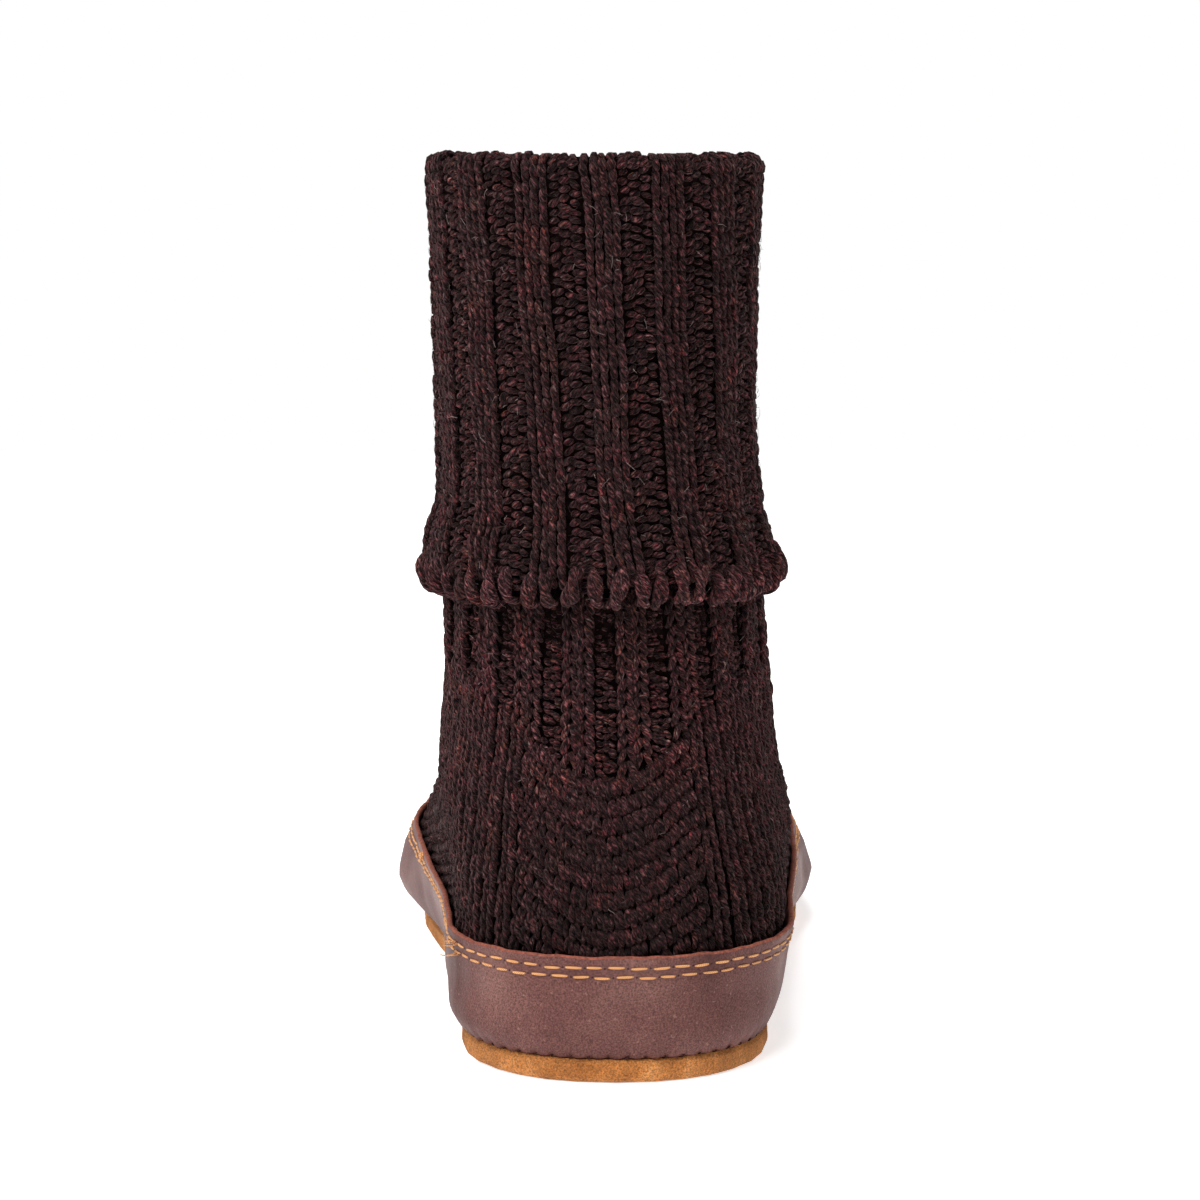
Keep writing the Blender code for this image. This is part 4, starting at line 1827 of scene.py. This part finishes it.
@dataclass
class SideWall:
    """The leather strip round the foot with its raw rim, stitch rows and gathered seam."""

    form: Form
    thickness: float = 1.8 * MM
    rim_thickness: float = 1.3 * MM
    skived: float = 12.0 * MM
    bottom: float = 5.7 * MM
    top: float = 28.2 * MM
    columns: int = 660
    toe_spring: float = 6.0 * MM
    toe_spring_start: float = 70.0 * MM
    toe: float = 136.0 * MM
    lift_fades_at: float = 60.0 * MM
    stitch_pitch: float = 5.0 * MM
    stitch_length: float = 4.05 * MM
    stitch_rows: tuple = (1.85 * MM, 3.95 * MM)
    thread: float = 0.31 * MM
    seam_pitch: float = 4.4 * MM
    seam_band: float = 2.6 * MM
    sewn_band: float = 1.6 * MM
    sewn_drop: float = 3.4 * MM
    knot_at: float = 143.0 * MM
    knot_drop: float = 1.2 * MM
    knot_size: float = 0.75 * MM
    rim_bow: tuple = ((0.03, 0.28 * MM), (0.20, 0.62 * MM), (0.50, 0.74 * MM),
                      (0.78, 0.64 * MM), (0.96, 0.34 * MM))
    inner_levels: tuple = (17, 15, 12, 8, 4, 0)
    frays: tuple = (
        Fray(1.6 * MM, 0.0, 2.6 * MM, 0.30 * MM),
        Fray(1.9 * MM, 1.0, 3.3 * MM, -0.15 * MM),
        Fray(2.3 * MM, -2.0, 1.9 * MM, 0.10 * MM),
        Fray(3.9 * MM, 0.0, 3.9 * MM, -0.55 * MM),
        Fray(4.3 * MM, 1.0, 2.7 * MM, -0.10 * MM),
    )
    dents: tuple = (
        Dent(-0.42, 19.0 * MM, 0.17, 7.0 * MM, -0.9 * MM),
        Dent(-0.40, 10.5 * MM, 0.19, 5.0 * MM, 0.7 * MM),
        Dent(0.36, 19.0 * MM, 0.20, 7.0 * MM, -0.8 * MM),
        Dent(0.34, 10.5 * MM, 0.20, 5.0 * MM, 0.6 * MM),
        Dent(-0.02, 13.0 * MM, 0.12, 8.0 * MM, -0.35 * MM),
        Dent(-0.78, 14.0 * MM, 0.12, 9.0 * MM, 0.7 * MM),
        Dent(0.72, 16.0 * MM, 0.11, 9.0 * MM, 0.7 * MM),
        Dent(1.02, 15.0 * MM, 0.14, 9.0 * MM, -0.8 * MM),
        Dent(-1.12, 17.0 * MM, 0.16, 9.0 * MM, -0.8 * MM),
        Dent(1.75, 15.0 * MM, 0.14, 9.0 * MM, -0.7 * MM),
        Dent(2.20, 15.0 * MM, 0.10, 9.0 * MM, 0.6 * MM),
        Dent(-1.80, 15.0 * MM, 0.12, 8.0 * MM, 0.5 * MM),
        Dent(-2.15, 15.0 * MM, 0.14, 8.0 * MM, -0.7 * MM),
        Dent(2.75, 17.0 * MM, 0.10, 9.0 * MM, 0.6 * MM),
        Dent(-2.80, 16.0 * MM, 0.12, 9.0 * MM, -0.5 * MM),
    )
    rings: np.ndarray = field(init=False)
    levels: np.ndarray = field(init=False)
    out: np.ndarray = field(init=False)
    reach: np.ndarray = field(init=False)

    def lift(self, y: np.ndarray, height: float) -> np.ndarray:
        """How far the toe spring raises the wall.

        Args:
            y: How far forward.
            height: The height on the wall.

        Returns:
            The rise.
        """
        t = np.clip((y - self.toe_spring_start) / (self.toe - self.toe_spring_start), 0.0, 1.0)
        return self.toe_spring * t**2 * (1.0 - height / self.lift_fades_at)

    def measure(self) -> None:
        """Reads the wall's outer face as rings, spaced evenly round the foot."""
        self.levels = np.linspace(self.bottom, self.top, self.inner_levels[0] + 1)
        turns = np.linspace(0.0, 2.0 * math.pi, 401)[:-1]
        columns = []
        above = np.zeros(len(turns))
        for height in self.levels[::-1]:
            ring = []
            for turn, known in zip(turns, above):
                ray = np.array([math.sin(turn), -math.cos(turn), 0.0])
                z = height + float(self.lift(known, height))
                for _ in range(3):
                    centre = np.array([0.0, 0.0, z + 0.02 * MM])
                    point = self.form.feel(centre, ray, Face.OUTSIDE)
                    if np.isnan(point[0]):
                        break
                    z = height + float(self.lift(point[1], height))
                ring.append([*point[:2], z])
            ring = np.array(ring)
            bad = np.isnan(ring[:, 0])
            for axis in range(3):
                ring[bad, axis] = np.interp(turns[bad], turns[~bad], ring[~bad, axis],
                                            period=2.0 * math.pi)
            above = ring[:, 1]
            columns.append(round_ring(ring, np.arange(self.columns) / self.columns))
        self.rings = np.array(columns[::-1])
        for _ in range(2):
            self.rings = (np.roll(self.rings, 1, axis=1) + 2.0 * self.rings
                          + np.roll(self.rings, -1, axis=1)) / 4.0
        beside = np.roll(self.rings, -1, axis=1) - np.roll(self.rings, 1, axis=1)
        upward = np.gradient(self.rings, axis=0)
        self.out = unit(np.cross(beside, upward))
        closed = np.concatenate([self.rings, self.rings[:, :1]], axis=1)
        self.reach = np.linalg.norm(np.diff(closed, axis=1), axis=2).mean(axis=0).cumsum()

    def relief(self) -> np.ndarray:
        """How far the outer face stands in or out of its plain form.

        Returns:
            The offsets, (levels, columns).
        """
        turn = np.linspace(-math.pi, math.pi, self.columns, endpoint=False)
        turn = np.roll(turn, self.columns // 2)
        height = self.levels[:, None]
        total = np.zeros((len(self.levels), self.columns))
        for dent in self.dents:
            near = np.angle(np.exp(1j * (turn - dent.turn)))
            total += dent.depth * np.exp(-(near / dent.wide) ** 2
                                         - ((height - dent.height) / dent.tall) ** 2)
        beat = np.round(self.reach[-1] / self.seam_pitch)
        wave = np.abs(np.sin(np.pi * beat * np.arange(self.columns) / self.columns))
        slack = 0.75 + 0.25 * np.sin(23.0 * turn) * np.sin(7.0 * turn + 1.0)
        near_seam = np.exp(-((height - self.bottom) / self.seam_band) ** 2)
        total += (0.80 * wave - 0.55) * MM * near_seam * slack
        sewn = np.exp(-((height - (self.top - self.sewn_drop)) / self.sewn_band) ** 2)
        total -= 0.22 * MM * sewn
        rolls = (np.sin(9.0 * turn + 0.7) + 0.6 * np.sin(17.0 * turn + 2.0)
                 + 0.4 * np.sin(31.0 * turn))
        total += 0.10 * MM * rolls * smooth_step(height, 12.0 * MM, 26.0 * MM)
        return total

    def build(self) -> list[bpy.types.Object]:
        """Builds the wall, its threads and its needle holes.

        Returns:
            The pieces.
        """
        self.measure()
        outer = self.rings + self.out * self.relief()[..., None]
        turn = np.linspace(0.0, 2.0 * math.pi, self.columns, endpoint=False)
        ragged = 0.16 * MM * (np.sin(37.0 * turn) + np.sin(61.0 * turn + 1.0)
                              + 0.8 * np.sin(113.0 * turn + 2.0)) / 2.0
        inward = -self.out[-1] * np.array([1.0, 1.0, 0.25])
        cap = [outer[-1] + inward * self.rim_thickness * share
               + UP * (rise + ragged)[:, None] for share, rise in self.rim_bow]
        skive = np.interp(self.levels, [self.top - self.skived, self.top],
                          [self.thickness, self.rim_thickness])
        inner = [outer[i] - self.out[i] * skive[i] for i in self.inner_levels]
        rows = list(outer) + cap + inner
        count = len(rows)
        index = np.arange(count * self.columns).reshape(count, self.columns)
        right = np.roll(index, -1, axis=1)
        above, above_right = np.roll(index, -1, axis=0), np.roll(right, -1, axis=0)
        quads = np.stack([index, right, above_right, above], axis=-1).reshape(-1, 4)
        wall = make_mesh("leather_wall", np.array(rows).reshape(-1, 3), quads.ravel(),
                         4 * np.arange(len(quads)))
        dress(wall, LeatherFinish(), CutEdgeFinish())
        first = len(outer) * self.columns
        last = (len(outer) + len(cap)) * self.columns
        slots = np.zeros(len(quads), np.int32)
        slots[first:last] = 1
        wall.data.polygons.foreach_set("material_index", slots)
        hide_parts("side_wall")
        return [wall, *self.build_threads(outer), self.build_seam(outer)]

    def along(self, rows: np.ndarray, drop: float, at: np.ndarray) -> tuple:
        """Points a drop below the rim's edge.

        Args:
            rows: The wall's outer face.
            drop: The distance below the edge, down the face.
            at: Places round the wall, in columns.

        Returns:
            Points, outward directions and directions round the wall.
        """
        down, faces = rows[::-1].swapaxes(0, 1), self.out[::-1].swapaxes(0, 1)
        falls = lengths(down)
        lines = np.array([along_line(line, fall, drop) for line, fall in zip(down, falls)])
        outs = np.array([along_line(face, fall, drop) for face, fall in zip(faces, falls)])
        tangent = self.at_columns(lines, at + 0.5) - self.at_columns(lines, at - 0.5)
        return self.at_columns(lines, at), unit(self.at_columns(outs, at)), unit(tangent)

    def at_columns(self, values: np.ndarray, at: np.ndarray) -> np.ndarray:
        """Reads vectors given column by column at places round the wall."""
        closed = np.concatenate([values, values[:1]])
        return along_line(closed, np.arange(self.columns + 1), np.mod(at, self.columns))

    def build_threads(self, rows: np.ndarray) -> list[bpy.types.Object]:
        """Builds the two rows of saddle stitches and their needle holes.

        Args:
            rows: The wall's outer face.

        Returns:
            The threads and the holes.
        """
        threads = Strands("rim_stitches", 6)
        holes = Strands("rim_needle_holes", 8)
        column = self.reach[-1] / self.columns
        count = int(round(self.reach[-1] / self.stitch_pitch))
        t = np.linspace(0.0, 1.0, 9)
        for row, drop in enumerate(self.stitch_rows):
            start = (np.arange(count) + 0.35 * row) * self.columns / count
            start = start + scatter(count, 0.12 * MM / column)
            length = (self.stitch_length + scatter(count, 0.16 * MM)) / column
            at = start[:, None] + length[:, None] * t
            point, out, tangent = self.along(rows, drop, at)
            aside = np.cross(tangent, out)
            slant = scatter((count, 1), 0.10 * MM) + scatter((count, 1), 0.10 * MM) * (t - 0.5)
            proud = (0.20 - 0.62 * np.abs(2.0 * t - 1.0) ** 7) * MM
            path = point + aside * slant[..., None] + out * proud[:, None]
            thin = self.thread * (1.0 - 0.55 * np.abs(2.0 * t - 1.0) ** 2.6)
            threads.lay(path, out, np.broadcast_to(thin, at.shape), 0.8)
            # The needle holes are dark blobs on the face, painted shade where no hole is cut.
            gap = (self.stitch_pitch - self.stitch_length) / column
            at = start[:, None] + length[:, None] + gap * np.array([-0.1, 0.5, 1.1])
            point, out, _ = self.along(rows, drop, at)
            path = point + out * np.array([-0.12, 0.015, -0.12])[:, None] * MM
            size = np.broadcast_to(np.array([0.12, 0.24, 0.12]) * MM, at.shape)
            holes.lay(path, out, size, 0.25)
        return [dress(threads.finish(), ThreadFinish()), dress(holes.finish(), HoleFinish()),
                self.build_loose_ends(rows)]

    def build_loose_ends(self, rows: np.ndarray) -> bpy.types.Object:
        """Builds the frayed thread ends at the heel's outer corner and the tied-off knot.

        Args:
            rows: The wall's outer face.

        Returns:
            The ends and the knot.
        """
        ends = Strands("loose_thread_ends", 5)
        t = np.linspace(0.0, 1.0, 7)
        rim = self.out[-1]
        later = np.arange(self.columns // 2, self.columns)
        corner = later[(rim[later, 0] < -0.93) & (rows[-1][later, 1] < -80.0 * MM)].max()
        sideways = np.array([-1.0, -0.10, 0.0])
        for fray in self.frays:
            point, out, _ = self.along(rows, fray.drop, np.array([corner + fray.shift]))
            bend = np.sin(np.pi * t)[:, None] * np.array([0.0, -0.5 * MM, fray.rise])
            path = (point + out * 0.1 * MM + sideways * (fray.reach * t)[:, None]
                    + bend * 0.9 + UP * fray.rise * t[:, None])
            size = (0.24 - 0.12 * t) * MM
            ends.lay(path[None], np.broadcast_to(out, path.shape)[None], size[None])
        spot = np.array([self.columns - self.knot_at * self.columns / self.reach[-1]])
        point, out, tangent = self.along(rows, self.knot_drop, spot)
        turn = np.linspace(0.0, 4.0 * math.pi, 26)
        loop = (tangent * np.cos(turn)[:, None]
                + UP * np.sin(turn)[:, None]) * self.knot_size
        path = point + loop + out * (0.35 + 0.35 * np.sin(1.5 * turn))[:, None] * MM
        ends.lay(path[None], np.broadcast_to(out, path.shape)[None],
                 np.full((1, len(turn)), 0.42 * MM))
        return dress(ends.finish(), ThreadFinish())

    def build_seam(self, rows: np.ndarray) -> bpy.types.Object:
        """Builds the short buried stitches that draw the wall to the sole.

        Args:
            rows: The wall's outer face.

        Returns:
            The stitches.
        """
        seam = Strands("sole_seam_stitches", 6)
        beat = int(np.round(self.reach[-1] / self.seam_pitch))
        at = np.arange(beat) * self.columns / beat
        point = self.at_columns(rows[0], at)
        out = unit(self.at_columns(self.out[0], at) * np.array([1.0, 1.0, 0.0]))
        tangent = unit(np.cross(UP, out))
        t = np.linspace(-1.0, 1.0, 6)
        slope = (0.42 + scatter((beat, 1), 0.2)) * MM
        rise = (0.26 * t - 0.02)[None] * (1.0 + scatter((beat, 1), 0.4)) * MM
        path = (point[:, None] + tangent[:, None] * (slope * t)[..., None]
                + UP * rise[..., None]
                + out[:, None] * ((0.34 - 0.75 * t**4) * MM)[None, :, None])
        size = np.broadcast_to((0.14 + scatter((beat, 1), 0.04)) * MM, path.shape[:2])
        seam.lay(path, np.broadcast_to(out[:, None], path.shape), size)
        # The seam stitches take the needle holes' dark finish, painted shade of the seam's
        # crease.
        return dress(seam.finish(), HoleFinish())


@dataclass
class Sole:
    """The suede outsole."""

    node: str = "outsole"
    rough: float = 0.12 * MM
    lip_wave: float = 0.18 * MM
    lip_bottom: float = 2.5 * MM
    lip_top: float = 5.2 * MM

    def build(self) -> bpy.types.Object:
        """Builds the sole from its own form, finely divided and slightly uneven.

        Returns:
            The piece.
        """
        obj = close_copy(self.node, "suede_sole", 2)
        points, normals = read_points(obj.data), read_points(obj.data, "normal")
        turn = np.arctan2(points[:, 0], -points[:, 1])
        wave = (np.sin(41.0 * turn) + np.sin(67.0 * turn + 1.3) + np.sin(97.0 * turn + 0.4)
                + np.sin(points[:, 2] * 1900.0 + 9.0 * turn))
        side = np.clip(1.0 - np.abs(normals[:, 2]) ** 2, 0.0, 1.0)
        lip = smooth_step(points[:, 2], self.lip_bottom, self.lip_top)
        points += normals * (self.rough * wave / 2.4 * side)[:, None]
        points[:, 2] += lip * side * self.lip_wave * np.sin(53.0 * turn + 0.5)
        points[:, 2] = np.maximum(points[:, 2], 0.0)
        move_points(obj.data, points)
        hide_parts(self.node)
        return dress(obj, SuedeFinish())


@dataclass
class Insole:
    """The felt insole."""

    node: str = "insole"
    top_from: float = 7.4 * MM
    top_at: float = 8.4 * MM
    heel_tread: float = 0.55 * MM
    ball_tread: float = 0.5 * MM
    wave: float = 0.06 * MM

    def build(self) -> bpy.types.Object:
        """Builds the insole from its own form, softly trodden.

        Returns:
            The piece.
        """
        obj = close_copy(self.node, "felt_insole", 2)
        points = read_points(obj.data)
        top = smooth_step(points[:, 2], self.top_from, self.top_at)
        x, y = points[:, 0] / MM, points[:, 1] / MM
        heel = np.exp(-((x - 1.6) / 22.0) ** 2 - ((y + 98.0) / 24.0) ** 2)
        ball = np.exp(-((x - 1.0) / 34.0) ** 2 - ((y - 38.0) / 26.0) ** 2)
        waves = np.sin(x * 0.37 + 1.0) * np.sin(y * 0.29) + 0.5 * np.sin(x * 0.9) * np.sin(
            y * 0.7 + 2.0)
        points[:, 2] -= top * (self.heel_tread * heel + self.ball_tread * ball
                               + self.wave * waves)
        move_points(obj.data, points)
        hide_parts(self.node)
        return dress(obj, FeltFinish())


def close_copy(node: str, name: str, levels: int) -> bpy.types.Object:
    """A welded, evenly divided copy of a node of the frame.

    Args:
        node: The node's name.
        name: The copy's name.
        levels: How many times it is divided.

    Returns:
        The copy, its divisions applied.
    """
    obj = bpy.data.objects.new(name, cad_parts[node].data.copy())
    obj.data.name = name
    bpy.context.scene.collection.objects.link(obj)
    weld = obj.modifiers.new("weld", "WELD")
    weld.merge_threshold = 0.01 * MM
    divide = obj.modifiers.new("divide", "SUBSURF")
    divide.subdivision_type = "SIMPLE"
    divide.levels = levels
    divide.render_levels = levels
    graph = bpy.context.evaluated_depsgraph_get()
    mesh = bpy.data.meshes.new_from_object(obj.evaluated_get(graph))
    obj.modifiers.clear()
    obj.data = mesh
    mesh.name = name
    mesh.materials.clear()
    mesh.shade_smooth()
    return obj


# ---------------------------------------------------------------- the studio


@dataclass
class Studio:
    """A pale floor, soft lights and the camera behind the heel."""

    lens: float = 103.74
    sensor: float = 36.0
    pitch: float = math.radians(7.382)
    camera_at: tuple = (-1.75 * MM, -885.5 * MM, 206.0 * MM)
    aim: tuple = (0.0, -60.0 * MM, 90.0 * MM)
    floor_half: float = 1.5
    white_until: float = 0.06
    dim_from: float = 0.17
    dim: float = 0.20

    def build(self) -> None:
        """Builds the floor, the lights, the sky and the camera."""
        self.build_floor()
        self.add_light("key", (-1.2, -1.0, 1.65), 0.8, 33.0)
        self.add_light("fill", (1.6, 0.3, 0.9), 1.0, 4.0)
        self.add_light("top", (-0.2, -0.55, 2.1), 0.8, 32.0)
        self.build_sky()
        bpy.context.scene.view_settings.view_transform = "Standard"
        self.build_camera()

    def build_sky(self) -> None:
        """Builds a white backdrop round the horizon under a dim ceiling."""
        world = bpy.data.worlds.new("white_sweep")
        world.use_nodes = True
        tree = world.node_tree
        way = tree.nodes.new("ShaderNodeTexCoord").outputs["Generated"]
        parts = tree.nodes.new("ShaderNodeSeparateXYZ")
        fade = tree.nodes.new("ShaderNodeMapRange")
        for name, value in (("From Min", self.white_until), ("From Max", self.dim_from),
                            ("To Min", 1.0), ("To Max", self.dim)):
            fade.inputs[name].default_value = value
        tree.links.new(way, parts.inputs[0])
        tree.links.new(parts.outputs["Z"], fade.inputs["Value"])
        tree.links.new(fade.outputs["Result"], tree.nodes["Background"].inputs["Strength"])
        tree.nodes["Background"].inputs["Color"].default_value = (1.0, 1.0, 1.0, 1.0)
        bpy.context.scene.world = world

    def build_floor(self) -> None:
        """Builds the floor."""
        board = NodeBoard("pale_floor")
        board.surface(Base_Color=(0.85, 0.85, 0.85, 1.0), Roughness=0.9,
                      Emission_Color=(1.0, 1.0, 1.0, 1.0), Emission_Strength=0.62)
        half = self.floor_half
        corners = [(-half, -half, 0.0), (half, -half, 0.0), (half, half, 0.0),
                   (-half, half, 0.0)]
        floor = make_mesh("floor", np.array(corners), np.arange(4), np.array([0]))
        floor.data.materials.append(board.material)

    def add_light(self, name: str, place: tuple, size: float, power: float) -> None:
        """Adds a soft square light that faces the shoe.

        Args:
            name: The light's name.
            place: Where it hangs.
            size: The length of its side.
            power: Its power in watts.
        """
        light = bpy.data.lights.new(name, "AREA")
        light.size = size
        light.energy = power
        obj = bpy.data.objects.new(name, light)
        obj.location = place
        obj.rotation_mode = "QUATERNION"
        aim = Vector(self.aim) - Vector(place)
        obj.rotation_quaternion = aim.to_track_quat("-Z", "Y")
        bpy.context.scene.collection.objects.link(obj)

    def build_camera(self) -> None:
        """Builds the camera, level with the collar and looking slightly down."""
        data = bpy.data.cameras.new("camera")
        data.lens = self.lens
        data.sensor_width = self.sensor
        data.clip_start = 0.05
        camera = bpy.data.objects.new("camera", data)
        camera.location = self.camera_at
        camera.rotation_euler = (math.pi / 2.0 - self.pitch, 0.0, 0.0)
        bpy.context.scene.collection.objects.link(camera)
        bpy.context.scene.camera = camera


def main() -> None:
    """Builds the slipper sock, dresses it and sets up the studio."""
    logging.basicConfig(level=logging.INFO, format="%(message)s")
    knit = Form("sock_upper")
    cuff = Cuff(knit)
    body = Body(knit)
    pieces = [*cuff.build(), *body.build(), Lining(cuff).build(),
              *Fuzz(cuff, body).build(), Ground().build(),
              *SideWall(Form("side_wall")).build(), Sole().build(), Insole().build()]
    for piece in pieces:
        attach(piece, "root")
        triangles = sum(len(polygon.vertices) - 2 for polygon in piece.data.polygons)
        LOG.info("%s: %d triangles", piece.name, triangles)
    Studio().build()


if __name__ == "__main__":
    main()
